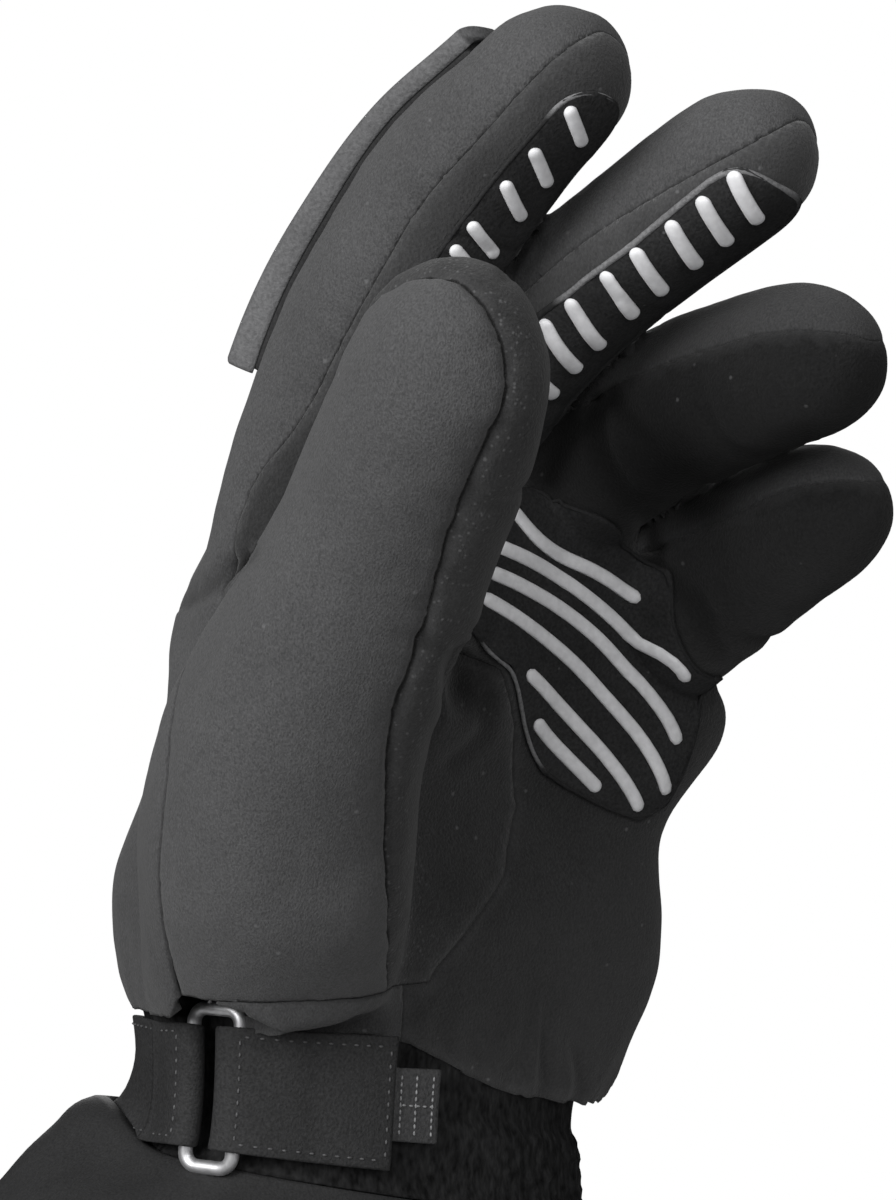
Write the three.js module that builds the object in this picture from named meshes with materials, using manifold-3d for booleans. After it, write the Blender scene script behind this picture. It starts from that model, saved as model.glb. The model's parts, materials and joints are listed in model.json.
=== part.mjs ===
// A padded winter glove for the left hand, as it stands when it is worn with half-curled fingers.
// Millimetres and degrees. +Z runs from the cuff to the fingertips, +X is the way the palm faces, and the
// thumb is on the -Y side. The origin is the centre of the gauntlet's mouth.
import * as THREE from 'three';
import Module from 'manifold-3d';

const wasm = await Module();
wasm.setup();

const DEG = Math.PI / 180;

// Thicknesses
const WALL = 3; // softshell, wadding and lining together
const CUFF_WALL = 2; // two layers of shell cloth
const SEWN = 0.3; // space between two pieces that are sewn together
const PATCH = 0.9; // grip cloth on the palm and fingers
const STRIPE = 0.8; // printed silicone on the grip cloth

// How finely the round forms are faceted: sides round a section, and millimetres or degrees along it
const HAND_SIDES = 24;
const HAND_STEP = 12;
const DIGIT_SIDES = 14;
const DIGIT_STEP = 14;
const HOLLOW_SHARE = 0.7; // the hollow inside has this share of the sides
const PANEL_STEP = 14;
const PANEL_ARCS = { back: 9, palm: 6, hollow: 3 }; // a hollow face has so many arcs fewer
const TIP_TURNS = [32, 66];
const FINGER_ROOM = 0.65; // space between the hand and the fingers' own panels

// Heights of the two seams of the wrist band, at the middle of the hand
const HAND_SEAM = 77;
const CUFF_SEAM = 49.5;
const LOW = HAND_SEAM - 14; // the hand's form is made from here and trimmed at the seam
const TOP_ROUND = 160; // from here up, the hand's top is drawn in like its sides
const REACH = 120; // further than any part of the glove lies from the middle

// Sections of the hand and the cuff. x and y place the middle of a section, across and thick are half its
// size, square is the power of its superellipse, cup pushes its little-finger edge towards the palm, and
// THUMB_CUP is the share of that at the thumb's edge. dip is its fall for each millimetre towards the
// little finger.
const THUMB_CUP = 0.4;
const HAND = [
  { z: 0, x: 0, y: 0, across: 63, thick: 51, square: 2.1, cup: 0, dip: 0 },
  { z: 22, x: 1, y: 0, across: 64, thick: 52, square: 2.1, cup: 0, dip: 0.03 },
  { z: 36, x: 3, y: -1, across: 63, thick: 51, square: 2.1, cup: 0, dip: 0.12 },
  { z: 43, x: 8, y: 3, across: 55, thick: 43, square: 2.15, cup: 1, dip: 0.2 },
  { z: 46.5, x: 12.2, y: 7.5, across: 48.5, thick: 36, square: 2.25, cup: 2, dip: 0.23 },
  { z: 49.5, x: 14.6, y: 10, across: 44.8, thick: 32.3, square: 2.3, cup: 3, dip: 0.24 },
  { z: 54, x: 15.2, y: 10.6, across: 42.8, thick: 30.7, square: 2.3, cup: 3, dip: 0.24 },
  { z: 73, x: 15.2, y: 10.6, across: 43.1, thick: 30.9, square: 2.3, cup: 3, dip: 0.25 },
  { z: 79.5, x: 14.6, y: 12.8, across: 48.2, thick: 32.5, square: 2.4, cup: 5, dip: 0.25 },
  { z: 90, x: 13.5, y: 13.2, across: 51, thick: 34.5, square: 2.5, cup: 9, dip: 0.22 },
  { z: 104, x: 14, y: 13.4, across: 51.4, thick: 35.5, square: 2.6, cup: 13, dip: 0.16 },
  { z: 122, x: 16.5, y: 15.5, across: 50, thick: 33, square: 2.6, cup: 17, dip: 0.06 },
  { z: 138, x: 20.5, y: 17.5, across: 52, thick: 32, square: 2.6, cup: 20, dip: 0 },
  { z: 150, x: 22.5, y: 16.5, across: 50.5, thick: 31, square: 2.6, cup: 18, dip: 0 },
  { z: 161, x: 25, y: 17, across: 46.5, thick: 29, square: 2.6, cup: 15, dip: 0.06 },
  { z: 171, x: 29, y: 17.5, across: 43, thick: 26, square: 2.5, cup: 10, dip: 0.14 },
  { z: 179, x: 33.5, y: 16.5, across: 37, thick: 18.5, square: 2.4, cup: 7, dip: 0.2 },
  { z: 184, x: 36.5, y: 15.5, across: 28, thick: 10, square: 2.2, cup: 5, dip: 0.22 },
];

// Folds and dents of the hand and the cuff. around is the direction of a fold's middle: 0 is the
// little-finger side, 90 the palm, 180 the thumb side and 270 the back. deep is how far it stands out,
// and tall and wide are how far it spreads, in millimetres and degrees.
const FOLDS = [
  { name: 'crease under the little finger', z: 146, around: 15, deep: -2.5, tall: 6, wide: 40 },
  { name: 'roll at the edge of the palm', z: 135, around: 15, deep: 2.6, tall: 7, wide: 40 },
  { name: 'dent below the roll', z: 118, around: 20, deep: -2.6, tall: 8, wide: 45 },
  { name: 'crease of the heel', z: 96, around: 25, deep: -1.2, tall: 5, wide: 45 },
  { name: 'dent across the palm', z: 126, around: 88, deep: -5, tall: 24, wide: 32 },
  { name: 'puff above the strap', z: 81, around: 232, deep: 1.6, tall: 6, wide: 38 },
  { name: 'hollow of the back of the hand', z: 107, around: 235, deep: -1.2, tall: 10, wide: 38 },
  { name: 'hollow behind the buckle', z: 80, around: 162, deep: -1.6, tall: 4, wide: 14 },
  { name: 'puff under the forefinger', z: 158, around: 228, deep: 1.5, tall: 12, wide: 30 },
  { name: 'puff of the gauntlet behind the strap', z: 49.5, around: 228, deep: 8, tall: 4.5, wide: 32 },
  { name: 'drape on the palm side', z: 18, around: 75, deep: -4, tall: 24, wide: 17 },
  { name: 'drape on the little-finger side', z: 20, around: 340, deep: -3.5, tall: 22, wide: 17 },
  { name: 'drape on the back', z: 16, around: 268, deep: -4, tall: 24, wide: 17 },
  { name: 'drape on the thumb side', z: 16, around: 160, deep: -3, tall: 20, wide: 16 },
];

// Fingers and thumb. base is where the middle line starts, aim is the way a finger curls, measured from
// the palm's direction, lean tips it towards the little finger, and start is how far it is curled at its
// base. Each bend turns it by so much over a stretch of twice `over`. cap is the length of its round end,
// and root is where its own panels begin. In the sections, across and thick are half sizes and seam says
// how far towards the palm the seam between the back and the palm panels lies, as a share of thick.
const DIGITS = {
  index: {
    base: [28.8, -23.7, 142.5], aim: -8, lean: 6, start: 8.5, length: 139, cap: 15, square: 2.2, root: 48,
    bends: [
      { at: 28, turn: 13, over: 16 },
      { at: 66, turn: 16, over: 14 },
      { at: 98, turn: 14, over: 12 },
    ],
    sections: [
      { s: 0, across: 12.5, thick: 14.5, seam: 0.5 },
      { s: 40, across: 13.2, thick: 15, seam: 0.6 },
      { s: 100, across: 15, thick: 14.7, seam: 0.6 },
      { s: 120, across: 14.3, thick: 13.3, seam: 0.6 },
      { s: 138, across: 13.2, thick: 12.7, seam: 0.5 },
    ],
  },
  middle: {
    base: [19.2, 3.1, 150.2], aim: -9, lean: 5, start: 14.4, length: 138, cap: 15, square: 2.2, root: 45,
    bends: [
      { at: 25, turn: 33, over: 16 },
      { at: 70, turn: 8, over: 14 },
      { at: 98, turn: 3, over: 12 },
    ],
    sections: [
      { s: 0, across: 13, thick: 17.5, seam: 0.3 },
      { s: 40, across: 12.2, thick: 15, seam: 0.4 },
      { s: 70, across: 12.6, thick: 13.3, seam: 0.4 },
      { s: 100, across: 14.1, thick: 12, seam: 0.4 },
      { s: 137, across: 13, thick: 12.1, seam: 0.3 },
    ],
  },
  ring: {
    base: [14.7, 29.9, 148.2], aim: -3, lean: 5, start: 31, length: 120.3, cap: 17, square: 2.2, root: 47,
    bends: [
      { at: 25, turn: 30, over: 16 },
      { at: 66, turn: 9, over: 14 },
      { at: 92, turn: 6, over: 12 },
    ],
    sections: [
      { s: 0, across: 12.6, thick: 17, seam: 0.3 },
      { s: 40, across: 11.9, thick: 14.6, seam: 0.4 },
      { s: 90, across: 13, thick: 13.4, seam: 0.4 },
      { s: 124, across: 12.9, thick: 13, seam: 0.3 },
    ],
  },
  little: {
    base: [20.2, 51.6, 133.8], aim: -4, lean: 1, start: 42, length: 94, cap: 16, square: 2.2, root: 44,
    bends: [
      { at: 22, turn: 23, over: 16 },
      { at: 56, turn: 2, over: 14 },
    ],
    sections: [
      { s: 0, across: 12.2, thick: 20.4, seam: 0.3 },
      { s: 40, across: 12, thick: 17.2, seam: 0.4 },
      { s: 62, across: 11.9, thick: 13.8, seam: 0.4 },
      { s: 94, across: 11.8, thick: 11.8, seam: 0.3 },
    ],
  },
  thumb: {
    base: [24.2, -18, 86], aim: -62, lean: -29, start: -2.6, length: 151.5, cap: 22, square: 2.3, root: 0,
    bends: [
      { at: 53, turn: 21, over: 30 },
      { at: 95, turn: -2, over: 20 },
      { at: 116, turn: -7, over: 14 },
    ],
    sections: [
      { s: 0, across: 18, thick: 21, seam: 0.78 },
      { s: 14, across: 23.5, thick: 23, seam: 0.78 },
      { s: 36, across: 27, thick: 24, seam: 0.74 },
      { s: 69, across: 21.3, thick: 20.8, seam: 0.62 },
      { s: 95, across: 18.5, thick: 18.3, seam: 0.57 },
      { s: 125, across: 17.8, thick: 17, seam: 0.58 },
      { s: 141, across: 17.5, thick: 16.4, seam: 0.4 },
      { s: 151, across: 17.3, thick: 16, seam: -0.9 },
    ],
  },
};

// The edge of the thumb's own panels at places along its middle line. seam is the place of the seam on
// the thumb's back, in millimetres towards the little finger, and far is how far past the section they
// reach on that side.
const THUMB_EDGE = [
  { s: -14, seam: -20, far: -17 },
  { s: 8, seam: -17, far: -17 },
  { s: 28, seam: -13.5, far: -17 },
  { s: 48, seam: -7, far: -12 },
  { s: 56, seam: 0, far: 0 },
  { s: 64, seam: 12, far: 3 },
  { s: 72, seam: 30, far: 3 },
];
// The gusset at the ball of the thumb, seen from the palm: y and z of its corners
const GUSSET = [
  [-22, 60],
  [-2, 70],
  [0, 95],
  [9.7, 101],
  [18.8, 109.5],
  [23, 122],
  [19.5, 136],
  [13, 147],
  [0, 151],
  [-22, 151],
];
const GUSSET_BACK = 25; // the gusset lies in front of this place on X
const THUMB_SEAM = 91; // height of the seam under the thumb's panels and the gusset
const THUMB_FLOOR = THUMB_SEAM - 3; // the thumb's form ends just under its seam
const THUMB_GAP = SEWN * 0.7; // half the space along the thumb's slanting seams
const THUMB_START = -30; // where the thumb's seam is drawn from, along its middle line
// Where the seam between the back and the palm of the hand runs on its thumb side, under and above the
// thumb, as a share of the hand's half thickness
const SIDE_SEAM = { under: 2.6, above: 0.8, from: 110, to: 150 };

// The gathers of the elastic band lie round the palm's side and fade out under the strap.
const GATHERS = { middle: 0, spread: 92, fade: 20, deep: 0.8 };
const BAND_SIDES = 50;
const BAND_WALL = 2.4;
const BAND_LEVELS = [54, 58, 72];

// The gauntlet puffs up behind the strap. Each row is a level of it: z is its height where it hangs
// plainly, and out and up are how far it moves where the puff is full, from its middle direction to so
// many degrees on both sides, less what it takes to fade.
const CUFF_SIDES = 28;
const PUFF = { middle: 245, spread: 75, fade: 45 };
const CUFF = [
  { z: 0, out: 0, up: 0 },
  { z: 12, out: 0, up: 0 },
  { z: 24, out: 0, up: 0 },
  { z: 34, out: 0, up: 0.5 },
  { z: 40.5, out: -1.5, up: 2 },
  { z: 43, out: -1, up: 3.5 },
  { z: 44.5, out: -0.5, up: 5 },
  { z: 46.5, out: 0.3, up: 6.8 },
  { z: 47.6, out: 1, up: 6.4 },
  { z: 48.7, out: 1.2, up: 0.4 },
  { z: CUFF_SEAM - SEWN / 2, out: 0, up: 0 },
];

// Strap round the wrist band. start is the direction of the buckle and height its place on the hand's
// middle line. lean is how far its ends slope, and rise how far it climbs for each millimetre of its run
// from the place `level` on. Its lower layer starts `lead` past a bar of the buckle, its upper layer has
// come down to the lower one at `landing`, and step is the length of its facets. The levels are places
// across its width, and the turns are where it is faceted round a bar.
const STRAP = {
  start: 162, height: 62.8, thick: 1.2, lean: 0.066, rise: 0.095, level: -12, lead: 5, landing: 17, step: 6,
};
const STRAP_LEVELS = [-10.5, -7, -2, 3, 10.5];
const STRAP_TURNS = [-20, 10, 40, 75, 110, 145, 180];
// How far the two layers of each end run from the middle of the buckle
const STRAP_BASE = { under: 62, over: 15 };
const STRAP_TAIL = { under: 20, over: 31 };
// Small tab at the end of the strap: the stretch it takes up, half its width, and how high it lies
const TAB = { from: 31.5, to: 40.5, half: 5.5, low: 1.4, thick: 0.9 };
// Buckle: a wire bent to a rounded rectangle. half is how far along the strap its bars lie from its
// middle, tall half its height to the middle of the wire, lift the wire's height above the band, and room
// the space between the wire and the strap that is doubled round it.
const RING = { half: 4, tall: 13.2, corner: 2.6, wire: 1.3, lift: 4.9, room: 1.05, sides: 8 };

// Grip patch of the palm, seen from the palm: y and z of its corners. It and its stripes lie between
// two places on X.
const PALM_DEPTH = [20, 62];
const PALM_PATCH = [
  [26.6, 127.4],
  [20.3, 137],
  [14.7, 147.3],
  [7, 154],
  [4, 165],
  [8, 176],
  [20, 177],
  [34, 171],
  [47, 162],
  [55.5, 150],
  [56.5, 135],
  [54.5, 120],
  [48.5, 117],
  [39.6, 120.5],
];
// Stripes of the palm: y and z of both ends, and how far the middle bows up
const PALM_STRIPES = [
  { from: [15, 175.6], to: [43, 159.8], bow: -0.6 },
  { from: [11.5, 168.2], to: [53.5, 142.8], bow: 3.8 },
  { from: [9.9, 163.6], to: [53.4, 132.2], bow: 5 },
  { from: [9.4, 158.6], to: [53.4, 122.4], bow: 4.6 },
  { from: [20.7, 145.2], to: [47.8, 120.2], bow: 1.6 },
  { from: [24.3, 136.2], to: [38.5, 124.3], bow: 0 },
];
// Grip patches and stripes of the fingers. from and to are places along the middle line, half is half the
// width, long is half a stripe's length, slant is how far it runs towards the palm for each millimetre
// towards the little finger, and stripes are the places where they cross the middle.
const FINGER_PATCHES = {
  index: { from: 54, to: 131, half: 10, slant: 0.5, stripes: [125, 115, 106.8, 97.2, 90, 81.5], long: 8 },
  middle: {
    from: 52, to: 130, half: 11.4, slant: 0.38, long: 9.4,
    stripes: [124.1, 116.9, 109.5, 100.8, 93.3, 84.6, 78, 70.7, 63.4],
  },
};
const STRIPE_WIDTH = 2.6;
const STRIPE_LIFT = SEWN * 2 + PATCH;
const PATCH_TIP = { share: 0.6, over: 20 }; // a finger's patch narrows to this share over so long a stretch

// The strip on the back of the forefinger: its places along the finger, direction, half width and height.
// inside and outside are the distances from the finger's middle line that it is cut between.
const BACK_STRIP = { from: 54, to: 121, around: 232, half: 8.5, high: 4, inside: 2, outside: 30 };

function smooth(t) {
  const c = Math.min(1, Math.max(0, t));
  return c * c * (3 - 2 * c);
}

// The value of one column at a place between two rows, on a smooth curve through all the rows.
function valueAt(rows, key, at, place) {
  const last = rows.length - 1;
  if (place <= rows[0][at]) return rows[0][key];
  if (place >= rows[last][at]) return rows[last][key];
  const i = rows.findIndex((row) => row[at] > place) - 1;
  const slope = (j) => {
    const a = rows[Math.max(j - 1, 0)];
    const b = rows[Math.min(j + 1, last)];
    return (b[key] - a[key]) / (b[at] - a[at]);
  };
  const span = rows[i + 1][at] - rows[i][at];
  const t = (place - rows[i][at]) / span;
  const ease = t * t * (3 - 2 * t);
  const rise = slope(i) * span * t * (1 - t) ** 2 - slope(i + 1) * span * t * t * (1 - t);
  return rows[i][key] * (1 - ease) + rows[i + 1][key] * ease + rise;
}

function signedPower(value, power) {
  return Math.sign(value) * Math.abs(value) ** power;
}

// Shortest turn from one direction to another.
function turnBetween(a, b) {
  return ((a - b + 540) % 360) - 180;
}

function foldAt(z, angle) {
  return FOLDS.reduce((sum, fold) => {
    const up = (z - fold.z) / fold.tall;
    const round = turnBetween(angle, fold.around) / fold.wide;
    return sum + fold.deep * Math.exp(-up * up - round * round);
  }, 0);
}

// A point of the hand or the cuff: z is the height at its middle line, and grow moves it outwards.
function handPoint(z, angle, grow) {
  const at = (key) => valueAt(HAND, key, 'z', z);
  const out = grow + foldAt(z, angle);
  const square = 2 / at('square');
  const u = (at('across') + out) * signedPower(Math.cos(angle * DEG), square);
  const share = u / (at('across') + out);
  const edge = at('cup') * share * share * (u > 0 ? 1 : THUMB_CUP);
  const v = (at('thick') + out) * signedPower(Math.sin(angle * DEG), square) + edge;
  return new THREE.Vector3(at('x') + v, at('y') + u, z - at('dip') * u);
}

// Places and directions along a digit's middle line, one millimetre apart.
function middleLine(digit) {
  const aim = digit.aim * DEG;
  const lean = digit.lean * DEG;
  const up = new THREE.Vector3(0, 0, 1);
  const curl = new THREE.Vector3(Math.cos(aim), -Math.sin(aim), 0);
  const level = new THREE.Vector3(Math.sin(aim), Math.cos(aim), 0);
  const rise = up.clone().multiplyScalar(Math.cos(lean)).addScaledVector(level, Math.sin(lean));
  const side = level.clone().multiplyScalar(Math.cos(lean)).addScaledVector(up, -Math.sin(lean));
  const place = new THREE.Vector3(...digit.base);
  const line = [];
  for (let s = 0; s <= digit.length + 10; s += 1) {
    const turned = digit.bends.reduce((sum, bend) => {
      return sum + bend.turn * smooth((s - bend.at + bend.over) / (2 * bend.over));
    }, digit.start);
    const along = rise.clone().multiplyScalar(Math.cos(turned * DEG));
    along.addScaledVector(curl, Math.sin(turned * DEG));
    const palm = curl.clone().multiplyScalar(Math.cos(turned * DEG));
    palm.addScaledVector(rise, -Math.sin(turned * DEG));
    line.push({ place: place.clone(), along, side, palm });
    place.add(along);
  }
  return line;
}

for (const digit of Object.values(DIGITS)) digit.line = middleLine(digit);

// A point beside a digit's middle line: u towards the little finger, v towards the palm.
function besideLine(digit, s, u, v) {
  const i = Math.min(Math.max(Math.floor(s), 0), digit.line.length - 2);
  const here = digit.line[i];
  const next = digit.line[i + 1];
  const t = s - i;
  const point = here.place.clone().lerp(next.place, t);
  point.addScaledVector(here.side, u);
  point.addScaledVector(here.palm.clone().lerp(next.palm, t).normalize(), v);
  return point;
}

function digitSize(digit, s, key) {
  return valueAt(digit.sections, key, 's', s);
}

function ringOf(sides, pointAt) {
  return Array.from({ length: sides }, (_, i) => pointAt((360 * i) / sides));
}

function steps(from, to, longest) {
  const count = Math.max(1, Math.ceil((to - from) / longest));
  return Array.from({ length: count + 1 }, (_, i) => from + ((to - from) * i) / count);
}

// A closed solid from its points and triangles, turned so that its faces point out. Points that fall
// together are joined, and triangles that have shrunk to a line are left out.
function solidOf(points, faces) {
  const seen = new Map();
  const kept = [];
  const nameOf = points.map((p) => {
    const key = `${p.x.toFixed(4)} ${p.y.toFixed(4)} ${p.z.toFixed(4)}`;
    if (!seen.has(key)) seen.set(key, kept.push(p) - 1);
    return seen.get(key);
  });
  const triangles = [];
  let volume = 0;
  for (let i = 0; i < faces.length; i += 3) {
    const [a, b, c] = [nameOf[faces[i]], nameOf[faces[i + 1]], nameOf[faces[i + 2]]];
    if (a === b || b === c || c === a) continue;
    triangles.push(a, b, c);
    volume += kept[a].dot(kept[b].clone().cross(kept[c]));
  }
  if (volume < 0) triangles.reverse();
  const triVerts = Uint32Array.from(triangles);
  const vertProperties = Float32Array.from(kept.flatMap((p) => [p.x, p.y, p.z]));
  return new wasm.Manifold(new wasm.Mesh({ numProp: 3, vertProperties, triVerts }));
}

// Triangles between two rows of points that have the same ends, whatever their counts.
function stripFaces(first, second) {
  const faces = [];
  let i = 0;
  let j = 0;
  while (i + 1 < first.length || j + 1 < second.length) {
    const nextFirst = (i + 1) / (first.length - 1);
    const nextSecond = (j + 1) / (second.length - 1);
    if (nextFirst <= nextSecond) {
      faces.push(first[i + 1], first[i], second[j]);
      i += 1;
    } else {
      faces.push(first[i], second[j], second[j + 1]);
      j += 1;
    }
  }
  return faces;
}

// Triangles of the walls between rings of equal count that follow each other in one list of points.
function wallFaces(levels, sides) {
  const faces = [];
  for (let level = 0; level + 1 < levels; level += 1) {
    for (let i = 0; i < sides; i += 1) {
      const a = level * sides + i;
      const b = level * sides + ((i + 1) % sides);
      faces.push(a, b, b + sides, a, b + sides, a + sides);
    }
  }
  return faces;
}

// Joins rings of points in their order. tips are the two points that its ends close on.
function loft(rings, tips) {
  const sides = rings[0].length;
  const points = rings.flat();
  const faces = wallFaces(rings.length, sides);
  const start = points.push(tips[0]) - 1;
  const end = points.push(tips[1]) - 1;
  const top = (rings.length - 1) * sides;
  for (let i = 0; i < sides; i += 1) {
    const next = (i + 1) % sides;
    faces.push(start, next, i);
    faces.push(end, top + i, top + next);
  }
  return solidOf(points, faces);
}

function middleOf(ring) {
  return ring.reduce((sum, p) => sum.add(p), new THREE.Vector3()).divideScalar(ring.length);
}

function plainLoft(rings) {
  return loft(rings, [middleOf(rings[0]), middleOf(rings[rings.length - 1])]);
}

// A solid of one flat outline, given as [a, b] pairs and put in place at each level by `place`.
function sweep(outline, levels, place) {
  const sides = outline.length;
  const points = levels.flatMap((level) => outline.map(([a, b]) => place(a, b, level)));
  const faces = wallFaces(levels.length, sides);
  const top = (levels.length - 1) * sides;
  const flat = outline.map(([a, b]) => new THREE.Vector2(a, b));
  const turn = Math.sign(THREE.ShapeUtils.area(flat));
  for (const corners of THREE.ShapeUtils.triangulateShape(flat, [])) {
    const along = Math.sign(THREE.ShapeUtils.area(corners.map((i) => flat[i]))) === turn;
    const [a, b, c] = along ? corners : [...corners].reverse();
    faces.push(a, c, b);
    faces.push(top + a, top + b, top + c);
  }
  return solidOf(points, faces);
}

// A solid between two rows of [a, b] pairs that run side by side, put in place at each level by `place`.
function ribbon(first, second, levels, place) {
  const outline = [...first, ...[...second].reverse()];
  const sides = outline.length;
  const points = levels.flatMap((level) => outline.map(([a, b]) => place(a, b, level)));
  const cap = stripFaces(first.map((_, i) => i), second.map((_, i) => sides - 1 - i));
  const top = (levels.length - 1) * sides;
  return solidOf(points, [...wallFaces(levels.length, sides), ...cap, ...cap.map((i) => i + top).reverse()]);
}

// A point of a digit's surface. shrink draws the section in towards the tip.
function digitPoint(digit, s, angle, grow, shrink = 1) {
  const power = 2 / digit.square;
  const u = (digitSize(digit, s, 'across') + grow) * shrink * signedPower(Math.cos(angle * DEG), power);
  const v = (digitSize(digit, s, 'thick') + grow) * shrink * signedPower(Math.sin(angle * DEG), power);
  return besideLine(digit, s, u, v);
}

// The places along a digit's surface at which its rings lie: along the straight, then round the tip.
function digitLevels(digit, from, grow, step) {
  const dome = digit.length - digit.cap;
  const round = digit.cap + grow;
  const straight = steps(from, dome, step).map((s) => ({ s, shrink: 1 }));
  const tip = TIP_TURNS.map((turn) => {
    return { s: dome + round * Math.sin(turn * DEG), shrink: Math.cos(turn * DEG) };
  });
  return straight.concat(tip);
}

function sidesFor(sides, grow) {
  return grow < 0 ? Math.round(sides * HOLLOW_SHARE) : sides;
}

// A digit's round form from a place on its middle line to its tip.
function digitForm(digit, from, grow) {
  const sides = sidesFor(DIGIT_SIDES, grow);
  const rings = digitLevels(digit, from, grow, DIGIT_STEP).map(({ s, shrink }) => {
    return ringOf(sides, (angle) => digitPoint(digit, s, angle, grow, shrink));
  });
  return loft(rings, [besideLine(digit, from, 0, 0), besideLine(digit, digit.length + grow, 0, 0)]);
}

// The hand's round form from one height to its top under the fingers.
function palmForm(from, grow) {
  const top = HAND[HAND.length - 1].z;
  const sides = sidesFor(HAND_SIDES, grow);
  const rings = steps(from, top, HAND_STEP).map((z) => {
    const lift = grow * smooth((z - TOP_ROUND) / (top - TOP_ROUND));
    return ringOf(sides, (angle) => handPoint(z, angle, grow).add(new THREE.Vector3(0, 0, lift)));
  });
  return plainLoft(rings);
}

// Everything between two heights.
const ALL_ROUND = [[-REACH, -REACH], [REACH, -REACH], [REACH, REACH], [-REACH, REACH]];
function slab(from, to) {
  return sweep(ALL_ROUND, [from, to], (x, y, z) => new THREE.Vector3(x, y, z));
}

// Everything below a seam that lies across the wrist.
function belowSeam(height) {
  const middle = valueAt(HAND, 'y', 'z', height);
  const dip = valueAt(HAND, 'dip', 'z', height);
  const tops = ALL_ROUND.map(([x, y]) => new THREE.Vector3(x, y, height - dip * (y - middle)));
  const floor = ALL_ROUND.map(([x, y]) => new THREE.Vector3(x, y, -REACH));
  return plainLoft([floor, tops]);
}

// A bar that follows a digit's middle line. edges gives its corners, as [u, v], at each place.
function alongDigit(digit, from, to, step, edges) {
  return plainLoft(steps(from, to, step).map((s) => edges(s).map(([u, v]) => besideLine(digit, s, u, v))));
}

// The direction, seen along a digit, in which its seam lies on the little-finger side.
function seamTurn(digit, s) {
  return Math.asin(signedPower(digitSize(digit, s, 'seam'), digit.square / 2)) / DEG;
}

// One wall of a finger, from its root to its tip, on the palm's or the back's side. under and over are
// how far its faces lie off the finger's form.
function fingerPanel(digit, isPalm, under, over) {
  const outerCount = isPalm ? PANEL_ARCS.palm : PANEL_ARCS.back;
  const innerCount = under < 0 ? outerCount - PANEL_ARCS.hollow : outerCount;
  const shift = isPalm ? SEWN / 2 : -SEWN / 2;
  const arc = (level, grow, count) => {
    const seam = seamTurn(digit, level.s);
    const [from, to] = isPalm ? [seam, 180 - seam] : [180 - seam, 360 + seam];
    const palm = besideLine(digit, level.s, 0, 1).sub(besideLine(digit, level.s, 0, 0));
    return Array.from({ length: count + 1 }, (_, i) => {
      const angle = from + ((to - from) * i) / count;
      return digitPoint(digit, level.s, angle, grow, level.shrink).addScaledVector(palm, shift);
    });
  };
  const levels = (grow) => {
    return [...digitLevels(digit, digit.root, grow, PANEL_STEP), { s: digit.length + grow, shrink: 0 }];
  };
  const inner = levels(under);
  const rings = levels(over).map((level, i) => {
    return [...arc(level, over, outerCount), ...arc(inner[i], under, innerCount).reverse()];
  });
  const sides = rings[0].length;
  const outerRow = Array.from({ length: outerCount + 1 }, (_, i) => i);
  const innerRow = Array.from({ length: innerCount + 1 }, (_, i) => sides - 1 - i);
  return solidOf(rings.flat(), [...wallFaces(rings.length, sides), ...stripFaces(outerRow, innerRow)]);
}

// A flat outline moved outwards by `grow`, corner by corner.
function grown(outline, grow) {
  const turn = Math.sign(THREE.ShapeUtils.area(outline.map(([a, b]) => new THREE.Vector2(a, b))));
  return outline.map(([a, b], i) => {
    const before = outline[(i + outline.length - 1) % outline.length];
    const after = outline[(i + 1) % outline.length];
    const along = new THREE.Vector2(after[0] - before[0], after[1] - before[1]).normalize();
    return [a + along.y * grow * turn, b - along.x * grow * turn];
  });
}

// A flat outline of the palm, given as [y, z] pairs, drawn out along X between two places.
function throughPalm(outline, from, to) {
  return sweep(outline, [from, to], (y, z, x) => new THREE.Vector3(x, y, z));
}

// The space that the thumb's own panels take out of the hand's wall. On the thumb's back it ends at the
// seam, and on the palm it takes in the gusset.
function thumbRegion(grow) {
  const thumb = DIGITS.thumb;
  const corner = [[0, 0], [1, 0], [1, 1], [2, 1], [2, 2], [0, 2]];
  const clear = 8;
  const along = sweep(corner, steps(THUMB_EDGE[0].s, thumb.length + clear, 11), (a, b, s) => {
    const [across, thick] = [digitSize(thumb, s, 'across'), digitSize(thumb, s, 'thick')];
    const far = across + valueAt(THUMB_EDGE, 'far', 's', s) + grow;
    const seam = Math.min(valueAt(THUMB_EDGE, 'seam', 's', s) + grow, far - 0.1);
    const sides = [-across - clear, seam, far];
    const depths = [-thick - clear, -grow, thick + clear / 2 + grow];
    return besideLine(thumb, s, sides[a], depths[b]);
  });
  const gusset = throughPalm(grown(GUSSET, grow), GUSSET_BACK - grow, REACH);
  return along.add(gusset).subtract(slab(0, THUMB_SEAM - grow));
}

// Everything on the palm's side of a digit's seam, as a wedge from its middle line.
function digitPalmSide(digit, from, shift) {
  const reach = 45;
  return alongDigit(digit, from, digit.length + 8, 13, (s) => {
    const turn = seamTurn(digit, s) * DEG;
    const apex = shift / Math.cos(turn);
    const [u, v] = [reach * Math.cos(turn), reach * Math.sin(turn) + apex];
    return [[0, apex], [u, v], [reach, reach * 1.5], [-reach, reach * 1.5], [-u, v]];
  });
}

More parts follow.
